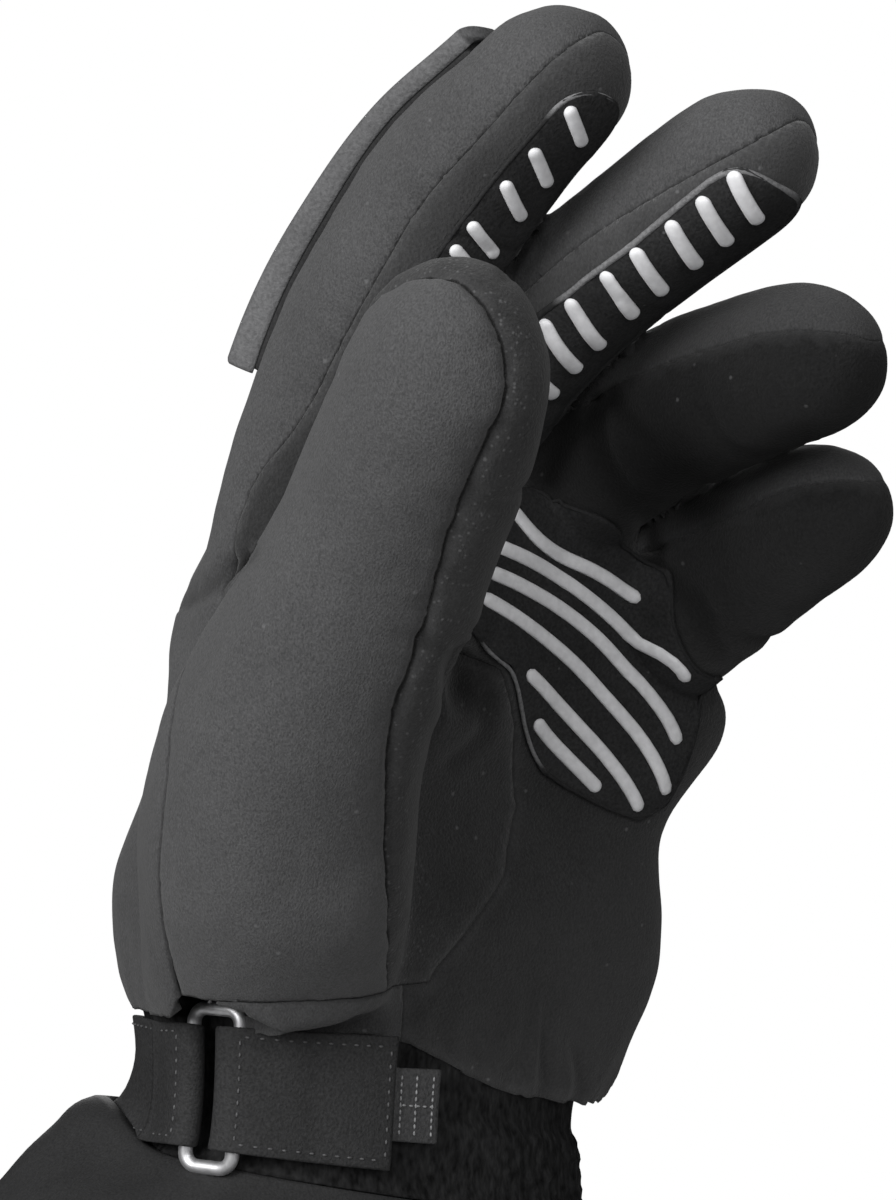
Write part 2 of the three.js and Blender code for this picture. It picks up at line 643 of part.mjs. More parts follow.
// Everything on the palm's side of the seam along the edges of the hand.
function handPalmSide(shift) {
  const reach = 75;
  const rings = steps(LOW - 10, 210, 18).map((z) => {
    const at = (key) => valueAt(HAND, key, 'z', z);
    const rise = smooth((z - SIDE_SEAM.from) / (SIDE_SEAM.to - SIDE_SEAM.from));
    const seam = [-reach, -reach / 2, 0, reach / 2, reach].map((u) => {
      const share = Math.min(1, Math.abs(u) / at('across'));
      const side = SIDE_SEAM.under + (SIDE_SEAM.above - SIDE_SEAM.under) * rise;
      const lift = u > 0 ? at('cup') * share : (THUMB_CUP * at('cup') + side * at('thick')) * share;
      return [u, lift + shift];
    });
    const outline = [...seam, [reach, 2 * reach], [-reach, 2 * reach]];
    return outline.map(([u, v]) => new THREE.Vector3(at('x') + v, at('y') + u, z - at('dip') * u));
  });
  return plainLoft(rings);
}

function largest(solid) {
  return solid.decompose().reduce((best, part) => (part.volume() > best.volume() ? part : best));
}

function join(solids) {
  return solids.reduce((sum, solid) => sum.add(solid));
}

const FINGERS = ['index', 'middle', 'ring', 'little'];
const glove = new THREE.Group();

const SOFTSHELL = { color: 0x4a4a4b, roughness: 0.92, metalness: 0 };
const SUEDE = { color: 0x29292a, roughness: 0.96, metalness: 0 };
const ELASTIC = { color: 0x18181a, roughness: 0.95, metalness: 0 };
const WEBBING = { color: 0x303032, roughness: 0.85, metalness: 0 };
const GRIP = { color: 0x222223, roughness: 0.8, metalness: 0 };
const SILICONE = { color: 0xa8a8a8, roughness: 0.5, metalness: 0 };
const STRIP = { color: 0x6c6c6d, roughness: 0.7, metalness: 0 };
const STEEL = { color: 0xb9b9ba, roughness: 0.28, metalness: 1 };

function addNode(name, solid, finish) {
  const mesh = solid.getMesh();
  const geometry = new THREE.BufferGeometry();
  geometry.setAttribute('position', new THREE.BufferAttribute(mesh.vertProperties, 3));
  geometry.setIndex(new THREE.BufferAttribute(mesh.triVerts, 1));
  geometry.computeVertexNormals();
  const node = new THREE.Mesh(geometry, new THREE.MeshStandardMaterial(finish));
  node.name = name;
  glove.add(node);
}

// Hand, fingers and thumb
function handForm(from, grow) {
  const digits = FINGERS.map((name) => digitForm(DIGITS[name], 0, grow));
  return join([palmForm(from, grow), ...digits]);
}

function thumbForm(floor, grow) {
  return digitForm(DIGITS.thumb, 0, grow).subtract(slab(-REACH, floor));
}

// The space of the fingers' own panels, with some room round it
function fingerSpace(room) {
  return join(FINGERS.map((name) => digitForm(DIGITS[name], DIGITS[name].root - SEWN, room)));
}

const outer = handForm(LOW, 0).add(thumbForm(THUMB_FLOOR, 0));
const inner = handForm(LOW - WALL, -WALL).add(thumbForm(THUMB_FLOOR + WALL, -WALL));
const openings = belowSeam(HAND_SEAM + SEWN / 2).add(fingerSpace(FINGER_ROOM));
const shell = outer.subtract(inner).subtract(openings);
const handWall = largest(shell.subtract(thumbRegion(SEWN)));
const thumbWall = largest(shell.intersect(thumbRegion(0)));

addNode('hand_back', largest(handWall.subtract(handPalmSide(-SEWN / 2))), SOFTSHELL);
addNode('hand_palm', largest(handWall.intersect(handPalmSide(SEWN / 2))), SUEDE);
const thumbSide = (shift) => digitPalmSide(DIGITS.thumb, THUMB_START, shift);
addNode('thumb_back', largest(thumbWall.subtract(thumbSide(-THUMB_GAP))), SOFTSHELL);
addNode('thumb_palm', largest(thumbWall.intersect(thumbSide(THUMB_GAP))), SUEDE);
for (const name of FINGERS) {
  addNode(`${name}_back`, fingerPanel(DIGITS[name], false, -WALL, 0), SOFTSHELL);
  addNode(`${name}_palm`, fingerPanel(DIGITS[name], true, -WALL, 0), SUEDE);
}

// Wrist band and gauntlet
function openTube(outside, inside) {
  const rings = [...outside, ...inside.reverse()];
  const sides = outside[0].length;
  const faces = wallFaces(rings.length + 1, sides).map((i) => i % (rings.length * sides));
  return solidOf(rings.flat(), faces);
}

const gathers = (angle) => {
  const side = Math.abs(turnBetween(angle, GATHERS.middle));
  const pleat = Math.round(angle / (360 / BAND_SIDES)) % 2 ? -1 : 1;
  return GATHERS.deep * pleat * (1 - smooth((side - GATHERS.spread) / GATHERS.fade));
};
const bandLevels = [CUFF_SEAM + SEWN / 2, ...BAND_LEVELS, HAND_SEAM - SEWN / 2];
const band = (growAt) => {
  return bandLevels.map((z) => ringOf(BAND_SIDES, (angle) => handPoint(z, angle, growAt(angle))));
};
addNode('wrist_band', openTube(band(gathers), band(() => -BAND_WALL)), ELASTIC);

function cuffPoint({ z, out, up }, angle) {
  const side = Math.abs(turnBetween(angle, PUFF.middle));
  const share = smooth((PUFF.spread - side) / PUFF.fade);
  const point = handPoint(z, angle, out * share);
  point.z += up * share;
  return point;
}

// The inside of the gauntlet lies a wall's thickness behind its outside, square to it.
const cuffRings = CUFF.map((row) => ringOf(CUFF_SIDES, (angle) => cuffPoint(row, angle)));
const cuffInside = cuffRings.map((ring, i) => ring.map((point, j) => {
  const around = ring[(j + 1) % CUFF_SIDES].clone().sub(ring.at(j - 1));
  const below = cuffRings[Math.max(i - 1, 0)][j];
  const above = cuffRings[Math.min(i + 1, CUFF.length - 1)][j];
  const inwards = around.cross(above.clone().sub(below)).normalize();
  return point.clone().addScaledVector(inwards, CUFF_WALL);
}));
addNode('gauntlet', openTube(cuffRings, cuffInside), SOFTSHELL);

// Strap and buckle. Distances along the strap are measured round the band from the buckle, towards the
// palm, and turned into directions by this table.
const ROUND = [{ run: 0, angle: STRAP.start + 180 }];
for (let angle = STRAP.start + 178; angle >= STRAP.start - 180; angle -= 2) {
  const last = ROUND[ROUND.length - 1];
  const stretch = handPoint(STRAP.height, angle, 0).distanceTo(handPoint(STRAP.height, last.angle, 0));
  ROUND.push({ run: last.run + stretch, angle });
}
const BUCKLE_RUN = ROUND.find((row) => row.angle === STRAP.start).run;

function strapPoint(t, h, w) {
  const angle = valueAt(ROUND, 'angle', 'run', BUCKLE_RUN + t + STRAP.lean * w);
  return handPoint(STRAP.height + w + STRAP.rise * Math.max(t, STRAP.level), angle, h);
}

// One end of the strap, doubled round a bar of the buckle. Its outline is seen along the bar: under is
// how far the layer on the band runs, over how far the upper layer runs.
function strapEnd(side, under, over) {
  const inside = RING.wire + RING.room;
  const outside = inside + STRAP.thick;
  const low = RING.lift - outside;
  const rest = low + STRAP.thick + SEWN; // where the upper layer comes to lie
  const drop = Math.min(over - 2, STRAP.landing);
  const bend = (radius, turns) => turns.map((turn) => {
    return [RING.half - radius * Math.sin(turn * DEG), RING.lift + radius * Math.cos(turn * DEG)];
  });
  const between = (from, to, h) => steps(from, to, STRAP.step).map((t) => [t, h]);
  const outer = [
    ...between(drop, over, rest + STRAP.thick).reverse(),
    ...bend(outside, STRAP_TURNS),
    ...between(RING.half + STRAP.lead, under, low),
  ];
  const inner = [
    ...between(drop - 0.4, over, rest).reverse(),
    ...bend(inside, STRAP_TURNS),
    ...between(RING.half + STRAP.lead, under, low + STRAP.thick),
  ];
  return ribbon(outer, inner, STRAP_LEVELS, (t, h, w) => strapPoint(side * t, h, w));
}

// The wire of the buckle, on a plane through the two doubled ends of the strap.
function buckle() {
  const reach = STRAP_LEVELS[STRAP_LEVELS.length - 1];
  const [left, right] = [strapPoint(-RING.half, RING.lift, 0), strapPoint(RING.half, RING.lift, 0)];
  const [low, high] = [strapPoint(0, RING.lift, -reach), strapPoint(0, RING.lift, reach)];
  const along = right.clone().sub(left).normalize();
  const up = high.clone().sub(low).normalize();
  const out = new THREE.Vector3().crossVectors(along, up).normalize();
  const wide = left.distanceTo(right) / 2;
  const middle = left.lerp(right, 0.5);
  const rings = [];
  for (const [side, top] of [[1, 1], [-1, 1], [-1, -1], [1, -1]]) {
    for (const turn of [0, 30, 60, 90]) {
      const heading = (Math.atan2(top, side) / DEG - 45 + turn) * DEG;
      const a = side * (wide - RING.corner) + RING.corner * Math.cos(heading);
      const b = top * (RING.tall - RING.corner) + RING.corner * Math.sin(heading);
      rings.push(ringOf(RING.sides, (angle) => {
        const off = RING.wire * Math.cos(angle * DEG);
        const point = middle.clone().addScaledVector(up, b + off * Math.sin(heading));
        point.addScaledVector(along, a + off * Math.cos(heading));
        return point.addScaledVector(out, RING.wire * Math.sin(angle * DEG));
      }));
    }
  }
  const faces = wallFaces(rings.length + 1, RING.sides).map((i) => i % (rings.length * RING.sides));
  return solidOf(rings.flat(), faces);
}

addNode('strap_base', strapEnd(-1, STRAP_BASE.under, STRAP_BASE.over), WEBBING);
addNode('strap_tail', strapEnd(1, STRAP_TAIL.under, STRAP_TAIL.over), WEBBING);
addNode('buckle', buckle(), STEEL);
const tabRow = (h) => steps(TAB.from, TAB.to, 5).map((t) => [t, h]);
const tabLevels = [-TAB.half, 0, TAB.half];
const tab = ribbon(tabRow(TAB.low + TAB.thick), tabRow(TAB.low), tabLevels, strapPoint);
addNode('strap_tab', tab, WEBBING);

// Grip patches and their stripes
function palmLayer(under, over) {
  return handForm(LOW, over).subtract(handForm(LOW, under)).subtract(fingerSpace(SEWN + PATCH));
}

const palmPatch = palmLayer(SEWN, SEWN + PATCH).intersect(throughPalm(PALM_PATCH, ...PALM_DEPTH));
addNode('palm_patch', largest(palmPatch), GRIP);

function bowedBar({ from, to, bow }) {
  const [start, end] = [new THREE.Vector2(...from), new THREE.Vector2(...to)];
  const across = end.clone().sub(start).normalize().rotateAround(new THREE.Vector2(), Math.PI / 2);
  const edge = (side) => steps(0, 1, 0.25).map((t) => {
    const point = start.clone().lerp(end, t).addScaledVector(across, 4 * bow * t * (1 - t));
    return point.addScaledVector(across, (side * STRIPE_WIDTH) / 2).toArray();
  });
  return ribbon(edge(1), edge(-1), PALM_DEPTH, (y, z, x) => new THREE.Vector3(x, y, z));
}
const palmStripes = palmLayer(STRIPE_LIFT, STRIPE_LIFT + STRIPE);
PALM_STRIPES.forEach((row, i) => {
  addNode(`palm_stripe_${i + 1}`, largest(palmStripes.intersect(bowedBar(row))), SILICONE);
});

for (const [name, patch] of Object.entries(FINGER_PATCHES)) {
  const digit = DIGITS[name];
  const reach = 30;
  const region = alongDigit(digit, patch.from, patch.to, 19, (s) => {
    const half = patch.half * Math.min(1, PATCH_TIP.share + (patch.to - s) / PATCH_TIP.over);
    return [[-half, 0], [half, 0], [half, reach], [-half, reach]];
  });
  addNode(`${name}_patch`, largest(fingerPanel(digit, true, SEWN, SEWN + PATCH).intersect(region)), GRIP);
  const stripes = fingerPanel(digit, true, STRIPE_LIFT, STRIPE_LIFT + STRIPE);
  patch.stripes.forEach((place, i) => {
    const bar = [-patch.long, patch.long].map((u) => {
      const s = place - patch.slant * u;
      const half = STRIPE_WIDTH / 2;
      const corners = [[s - half, 0], [s + half, 0], [s + half, reach], [s - half, reach]];
      return corners.map(([t, v]) => besideLine(digit, t, u, v));
    });
    addNode(`${name}_stripe_${i + 1}`, largest(stripes.intersect(plainLoft(bar))), SILICONE);
  });
}

// Strip on the back of the forefinger
const index = DIGITS.index;
const stripRegion = alongDigit(index, BACK_STRIP.from, BACK_STRIP.to, 23, () => {
  const turn = BACK_STRIP.around * DEG;
  const { inside, outside } = BACK_STRIP;
  return [[inside, -1], [outside, -1], [outside, 1], [inside, 1]].map(([out, side]) => {
    const beside = side * BACK_STRIP.half;
    return [out * Math.cos(turn) - beside * Math.sin(turn), out * Math.sin(turn) + beside * Math.cos(turn)];
  });
});
const strip = fingerPanel(index, false, SEWN, SEWN + BACK_STRIP.high);
addNode('index_back_strip', largest(strip.intersect(stripRegion)), STRIP);

export default glove;
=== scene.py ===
# %% [markdown]
# This notebook dresses a padded winter glove for the left hand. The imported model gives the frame: the
# sizes, the places and the names of the pieces. Here each cloth wall becomes a soft form with its seams,
# folds and stitches, and each finish gets a material built from nodes.

# %% Load the frame
import json
import math
import bmesh
import bpy
import numpy as np
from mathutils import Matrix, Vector, kdtree, noise
from mathutils.bvhtree import BVHTree

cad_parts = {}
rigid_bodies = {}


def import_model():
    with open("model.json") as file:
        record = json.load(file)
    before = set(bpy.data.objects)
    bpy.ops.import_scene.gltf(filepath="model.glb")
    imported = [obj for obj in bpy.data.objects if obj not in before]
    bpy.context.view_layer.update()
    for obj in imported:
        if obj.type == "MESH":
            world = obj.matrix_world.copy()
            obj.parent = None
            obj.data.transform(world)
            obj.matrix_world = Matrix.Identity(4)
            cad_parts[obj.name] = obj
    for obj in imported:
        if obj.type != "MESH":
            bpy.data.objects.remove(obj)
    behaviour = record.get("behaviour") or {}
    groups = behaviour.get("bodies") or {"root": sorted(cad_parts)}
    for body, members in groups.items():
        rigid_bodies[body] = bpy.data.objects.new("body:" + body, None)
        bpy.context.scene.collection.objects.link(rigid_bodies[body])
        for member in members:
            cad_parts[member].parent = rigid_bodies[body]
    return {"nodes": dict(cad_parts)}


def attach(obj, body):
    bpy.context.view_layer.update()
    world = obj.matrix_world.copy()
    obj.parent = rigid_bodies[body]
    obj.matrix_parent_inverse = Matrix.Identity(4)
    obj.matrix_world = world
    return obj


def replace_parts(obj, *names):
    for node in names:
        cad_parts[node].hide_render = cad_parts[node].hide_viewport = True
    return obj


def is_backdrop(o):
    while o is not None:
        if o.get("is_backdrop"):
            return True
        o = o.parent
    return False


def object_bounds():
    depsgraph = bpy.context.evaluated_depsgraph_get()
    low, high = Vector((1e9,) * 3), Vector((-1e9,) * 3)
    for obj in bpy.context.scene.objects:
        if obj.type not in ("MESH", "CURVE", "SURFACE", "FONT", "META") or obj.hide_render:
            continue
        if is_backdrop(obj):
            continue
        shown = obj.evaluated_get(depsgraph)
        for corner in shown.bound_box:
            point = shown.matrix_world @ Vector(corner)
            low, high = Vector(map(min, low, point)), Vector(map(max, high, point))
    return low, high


for old in list(bpy.data.objects):
    bpy.data.objects.remove(old)
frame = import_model()
cad_box = [list(corner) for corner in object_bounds()]
print("nodes in the frame:", len(frame["nodes"]))

# %% [markdown]
# The frame is in metres, but a glove is measured in millimetres, so every table below is in millimetres
# and `MM` turns a finished mesh into metres. +Z runs to the fingertips, the palm faces +X, and the thumb
# is on the -Y side. The origin is the middle of the cuff's mouth.
#
# Each row of `HAND` is a section: its height and middle, half its width and thickness, how square it is, how
# far its edges curl towards the palm and how much it slants. `FOLDS` push the surface out, or in below zero,
# round a height and a direction. A digit has a base, directions in degrees, bends and sections of its own,
# and `seam` says how far towards the palm its two cloths meet.

# %% Sizes of the hand, the fingers and the cuff
MM = 0.001
SEW = 0.3  # space between two pieces that are sewn together


def table(columns, *rows):
    """A short table: one row of numbers for each section or fold, under named columns."""
    names = columns.split()
    return [dict(zip(names, row)) for row in rows]


HAND = table(
    "z x y across thick square cup dip",
    (0, 0, 0, 63, 51, 2.1, 0, 0),
    (22, 1, 0, 64, 52, 2.1, 0, 0.03),
    (36, 3, -1, 63, 51, 2.1, 0, 0.12),
    (43, 8, 3, 55, 43, 2.15, 1, 0.2),
    (46.5, 12.2, 7.5, 48.5, 36, 2.25, 2, 0.23),
    (49.5, 14.6, 10, 44.8, 32.3, 2.3, 3, 0.24),
    (54, 15.2, 10.6, 42.8, 30.7, 2.3, 3, 0.24),
    (73, 15.2, 10.6, 43.1, 30.9, 2.3, 3, 0.25),
    (79.5, 14.6, 12.8, 48.2, 32.5, 2.4, 5, 0.25),
    (90, 13.5, 13.2, 51, 34.5, 2.5, 9, 0.22),
    (104, 14, 13.4, 51.4, 35.5, 2.6, 13, 0.16),
    (122, 16.5, 15.5, 50, 33, 2.6, 17, 0.06),
    (138, 20.5, 17.5, 52, 32, 2.6, 20, 0),
    (150, 22.5, 16.5, 50.5, 31, 2.6, 18, 0),
    (161, 25, 17, 46.5, 29, 2.6, 15, 0.06),
    (171, 29, 17.5, 43, 26, 2.5, 10, 0.14),
    (179, 33.5, 16.5, 37, 18.5, 2.4, 7, 0.2),
    (184, 36.5, 15.5, 28, 10, 2.2, 5, 0.22),
)
THUMB_CUP = 0.4  # share of the cup at the thumb's edge
HAND_SEAM = 77  # heights of the two seams of the wrist band
CUFF_SEAM = 49.5
LOW = 63  # the hand's form starts here and is trimmed at its seam
THUMB_SEAM = 91
THUMB_FLOOR = THUMB_SEAM - 3
SIDE_SEAM = {"under": 2.6, "above": 0.1, "start": 125, "end": 160}
FOLDS = table(
    "z around deep tall wide",
    (146, 15, -2.5, 6, 40),
    (131, 15, 3, 8, 40),
    (115, 22, -3.4, 9, 45),
    (96, 25, 0.6, 6, 45),
    (126, 88, -5, 24, 32),
    (81, 232, 1.6, 6, 38),
    (107, 235, -1.2, 10, 38),
    (80, 162, -1.6, 4, 14),
    (158, 228, 1.5, 12, 30),
    (49.5, 228, 8, 4.5, 32),
    (18, 75, -4, 24, 17),
    (20, 340, -3.5, 22, 17),
    (16, 268, -4, 24, 17),
    (16, 160, -3, 20, 16),
)


def digit(base, aim, lean, start, length, cap, square, root, bends, sections):
    """One finger or the thumb: its middle line, its round sections and where its seam lies."""
    return {
        "base": base, "aim": aim, "lean": lean, "start": start, "length": length, "cap": cap,
        "square": square, "root": root, "bends": table("at turn over", *bends),
        "sections": table("s across thick seam", *sections),
    }


DIGITS = {
    "index": digit(
        (28.8, -23.7, 142.5), -8, 6, 8.5, 139, 15, 2.2, 48,
        [(28, 13, 16), (66, 16, 14), (98, 14, 12)],
        [(0, 12.5, 14, -0.1), (40, 13.2, 14.3, 0.2), (60, 13.8, 14.9, 0.48), (100, 15, 14.3, 0.5),
         (120, 14.3, 12.3, 0.5), (138, 13.2, 11.9, 0.4)],
    ),
    "middle": digit(
        (19.2, 3.1, 150.2), -9, 5, 14.4, 138, 15, 2.2, 45,
        [(25, 31.5, 16), (70, 10.5, 14), (98, 3, 12)],
        [(0, 13, 17.5, -0.3), (40, 12.2, 15, -0.1), (70, 12.6, 13.2, 0.05), (100, 14.1, 11.6, 0.15),
         (137, 13, 11.6, 0.45)],
    ),
    "ring": digit(
        (14.7, 29.9, 148.2), -3, 5, 31, 121.4, 17, 2.2, 47,
        [(25, 30, 16), (66, 10, 14), (92, 8, 12)],
        [(0, 12.6, 17, -0.4), (40, 11.9, 15.2, -0.35), (66, 12.4, 15.2, -0.3), (90, 13, 14.5, -0.25),
         (124, 12.9, 12.7, -0.25)],
    ),
    "little": digit(
        (20.2, 51.6, 133.8), -4, 1, 42, 94, 16, 2.2, 44,
        [(22, 23, 16), (56, 2, 14)],
        [(0, 12.2, 20.4, -0.4), (40, 12, 18.4, -0.35), (62, 11.9, 15.2, -0.3), (80, 11.9, 13, -0.3),
         (94, 11.8, 11.8, -0.3)],
    ),
    "thumb": digit(
        (24.2, -18, 86), -62, -29, -2.6, 151.5, 22, 2.3, 0,
        [(53, 21, 30), (95, -2, 20), (116, -7, 14)],
        [(0, 18, 21, 0.84), (14, 23.5, 23, 0.84), (36, 27, 24, 0.74), (60, 23, 22, 0.62),
         (77, 20.4, 20, 0.42), (95, 18.5, 18.3, 0.34), (110, 18.1, 17.6, 0.22), (125, 17.8, 17, 0.24),
         (136, 17.6, 16.6, 0.44), (143, 17.5, 16.3, 0.55), (151, 17.3, 16, 0.55)],
    ),
}
FINGERS = ["index", "middle", "ring", "little"]
THUMB_EDGE = table(
    "s seam far",
    (-14, -20, -17), (8, -17, -17), (28, -13.5, -17), (48, -7, -12), (56, 0, 0), (64, 12, 3), (72, 30, 3),
)
GUSSET = [
    (-22, 57), (-12, 70), (-3, 87), (3, 94), (10, 100.5), (18.8, 108.8), (23, 121), (19.5, 136), (13, 147),
    (0, 151), (-22, 151),
]
GUSSET_BACK = 25
THUMB_NEAR = {"beside": 8, "behind": 8, "before": 6, "below": 14}  # how far off the thumb its cloth can lie
THUMB_FAR_SEAM = table(
    "s share", (0, 0.7), (40, 0.6), (70, 0.3), (95, -0.2), (120, -0.8), (136, -1.3), (151, -1.35),
)
print("sections of the hand:", len(HAND), "digits:", len(DIGITS))

# %% [markdown]
# A table gives only a few sections, so a smooth curve through its rows finds the value anywhere between
# them. It takes whole arrays of places at once, because the same curve later tells thousands of points of
# the cloth where they lie.

# %% Smooth curves through the tables


def smooth(t):
    t = np.clip(t, 0, 1)
    return t * t * (3 - 2 * t)


def value(rows, key, at, places):
    """The values of one column at places between the rows, on a smooth curve through all of them."""
    x = np.array([row[at] for row in rows], float)
    y = np.array([row[key] for row in rows], float)
    slope = np.empty(len(x))
    slope[1:-1] = (y[2:] - y[:-2]) / (x[2:] - x[:-2])
    slope[0] = (y[1] - y[0]) / (x[1] - x[0])
    slope[-1] = (y[-1] - y[-2]) / (x[-1] - x[-2])
    place = np.clip(places, x[0], x[-1])
    i = np.clip(np.searchsorted(x, place, side="right") - 1, 0, len(x) - 2)
    span = x[i + 1] - x[i]
    t = (place - x[i]) / span
    rise = slope[i] * span * t * (1 - t) ** 2 - slope[i + 1] * span * t * t * (1 - t)
    return y[i] * (1 - smooth(t)) + y[i + 1] * smooth(t) + rise


def signed_power(number, power):
    return np.sign(number) * np.abs(number) ** power


def turn_between(a, b):
    return (a - b + 540) % 360 - 180


def fold_at(z, angle):
    """How far the folds push the surface out at a height and a direction."""
    total = 0.0
    for fold in FOLDS:
        up = (z - fold["z"]) / fold["tall"]
        beside = turn_between(angle, fold["around"]) / fold["wide"]
        total = total + fold["deep"] * np.exp(-up * up - beside * beside)
    return total


def hand_point(z, angle, grow=0.0):
    """A point of the hand or the cuff. z is the height at its middle line, and grow moves it outwards."""
    row = {key: value(HAND, key, "z", z) for key in ("x", "y", "across", "thick", "square", "cup", "dip")}
    out = grow + fold_at(z, angle)
    power = 2 / row["square"]
    turn = np.radians(angle)
    u = (row["across"] + out) * signed_power(np.cos(turn), power)
    share = u / (row["across"] + out)
    edge = row["cup"] * share * share * np.where(u > 0, 1, THUMB_CUP)
    v = (row["thick"] + out) * signed_power(np.sin(turn), power) + edge
    return np.stack([row["x"] + v, row["y"] + u, z - row["dip"] * u], -1)


PAST_TIP = 10  # a digit's middle line goes on this far beyond its tip


def middle_line(one):
    """Places and directions along a digit's middle line, one millimetre apart."""
    aim = math.radians(one["aim"])
    lean = math.radians(one["lean"])
    curl = np.array([math.cos(aim), -math.sin(aim), 0])
    level = np.array([math.sin(aim), math.cos(aim), 0])
    up = np.array([0, 0, 1.0])
    rise = up * math.cos(lean) + level * math.sin(lean)
    side = level * math.cos(lean) - up * math.sin(lean)
    place = np.array(one["base"], float)
    line = {"place": [], "along": [], "palm": []}
    for s in range(math.ceil(one["length"]) + PAST_TIP):
        turned = one["start"]
        for bend in one["bends"]:
            turned += bend["turn"] * float(smooth((s - bend["at"] + bend["over"]) / (2 * bend["over"])))
        turned = math.radians(turned)
        along = rise * math.cos(turned) + curl * math.sin(turned)
        line["place"].append(place.copy())
        line["along"].append(along)
        line["palm"].append(curl * math.cos(turned) - rise * math.sin(turned))
        place += along
    return {**{key: np.array(rows) for key, rows in line.items()}, "side": side}


for one in DIGITS.values():
    one["line"] = middle_line(one)

VIEW = {  # the photograph's camera, in degrees and millimetres
    "azimuth": 50, "elevation": 3, "distance": 700, "across": 17.2, "aim": (14, 10, 157.6), "lens": 113.4,
}
SENSOR = 36
PHOTO = (896, 1200)
azimuth, elevation = math.radians(VIEW["azimuth"]), math.radians(VIEW["elevation"])
to_right = Vector((math.cos(azimuth), math.sin(azimuth), 0))
to_camera = Vector((
    math.sin(azimuth) * math.cos(elevation), -math.cos(azimuth) * math.cos(elevation), math.sin(elevation)
))
target = to_right * VIEW["across"] + Vector(VIEW["aim"])
eye = target + to_camera * VIEW["distance"]


def in_photo(points):
    """Where points show in the photograph, in its pixels, and how many pixels a millimetre takes there."""
    off = points - np.array(eye)
    depth = -off @ np.array(to_camera)
    scale = VIEW["lens"] / SENSOR * PHOTO[1] / depth
    up = np.array(to_camera.cross(to_right))
    return PHOTO[0] / 2 + off @ np.array(to_right) * scale, PHOTO[1] / 2 - off @ up * scale, scale


def beside(one, s, u, v):
    """A point beside a digit's middle line: u towards the little finger, v towards the palm."""
    line = one["line"]
    i = int(min(max(math.floor(s), 0), len(line["place"]) - 2))
    t = s - i
    place = line["place"][i] * (1 - t) + line["place"][i + 1] * t
    palm = line["palm"][i] * (1 - t) + line["palm"][i + 1] * t
    return place + line["side"] * u + palm / np.linalg.norm(palm) * v


def digit_size(one, key, s):
    return value(one["sections"], key, "s", s)


def digit_point(one, s, angle, shrink):
    """A point of a digit's surface. shrink draws the section in towards the tip."""
    turn = math.radians(angle)
    power = 2 / one["square"]
    u = digit_size(one, "across", s) * shrink * signed_power(math.cos(turn), power)
    v = digit_size(one, "thick", s) * shrink * signed_power(math.sin(turn), power)
    return beside(one, s, u, v)


tip = beside(DIGITS["index"], DIGITS["index"]["length"], 0, 0)
print("tip of the forefinger at", [round(float(x), 1) for x in tip], "mm")

# %% [markdown]
# A glove's soft form can be thought of as rounded tubes that run into each other. Each tube here is a row
# of circles, made by one operator, put in place and bridged to the next. Voxel remeshing then fuses the
# tubes into one skin, and a few rounds of smoothing turn the sharp joints into soft webs, as wadding does.

# %% Tubes of bridged circles


def place_ring(bm, points):
    """The edges of a closed loop of points, in millimetres, made from a circle."""
    made = bmesh.ops.create_circle(bm, segments=len(points), radius=1.0)["verts"]
    for vert, point in zip(made, points):
        vert.co = Vector(point) * MM
    return list({edge for vert in made for edge in vert.link_edges})


def tube(bm, rings, closed=False, capped=True):
    """Bridges rings of equal count in their order. closed joins the last to the first."""
    loops = [place_ring(bm, ring) for ring in rings]
    follows = loops[1:] + ([loops[0]] if closed else [])
    for first, second in zip(loops, follows):
        bmesh.ops.bridge_loops(bm, edges=first + second)
    if capped and not closed:
        bmesh.ops.holes_fill(bm, edges=loops[0] + loops[-1], sides=0)


def tube_mesh(rings, **ends):
    """A mesh of its own from one tube, its faces turned outwards."""
    bm = bmesh.new()
    tube(bm, rings, **ends)
    bmesh.ops.recalc_face_normals(bm, faces=bm.faces)
    return bm


def unit_rows(rows):
    """Rows of directions, each drawn to a length of one."""
    return rows / np.linalg.norm(rows, axis=1)[:, None]


def run_along(points):
    """How far along a row of points each of them lies."""
    return np.concatenate([[0], np.cumsum(np.linalg.norm(np.diff(points, axis=0), axis=1))])


def new_piece(name, bm, material):
    """A finished mesh as an object at the origin, riding on the glove's one body."""
    mesh = bpy.data.meshes.new(name)
    bm.to_mesh(mesh)
    bm.free()
    for polygon in mesh.polygons:
        polygon.use_smooth = True
    piece = bpy.data.objects.new(name, mesh)
    bpy.context.scene.collection.objects.link(piece)
    mesh.materials.append(material)
    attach(piece, "root")
    return piece


# %% [markdown]
# The hand's form is cut flat at the wrist end and the thumb's form just under its lower seam, so that the
# thumb's cloth ends there in a small step, as the sewn panel does.

# %% Fuse the hand and its digits into one skin
HAND_STEPS = 42
HAND_SIDES = 72
DIGIT_SIDES = 40
DIGIT_STEP = 3.0
TIP_TURNS = range(8, 89, 8)
VOXEL = 1.15
ROUNDS = 7  # rounds of smoothing after the remesh


def hand_rings():
    angles = 360 * np.arange(HAND_SIDES) / HAND_SIDES
    return [hand_point(z, angles) for z in np.linspace(LOW, HAND[-1]["z"], HAND_STEPS)]


def digit_rings(one, start=0.0):
    """Rings along the straight of a digit, then round its tip."""
    dome = one["length"] - one["cap"]
    count = math.ceil((dome - start) / DIGIT_STEP)
    levels = [(s, 1.0) for s in np.linspace(start, dome, count)]
    for turn in TIP_TURNS:
        reach = one["cap"] * math.sin(math.radians(turn))
        levels.append((dome + reach, math.cos(math.radians(turn))))
    angles = [360 * i / DIGIT_SIDES for i in range(DIGIT_SIDES)]
    return [[digit_point(one, s, angle, shrink) for angle in angles] for s, shrink in levels]


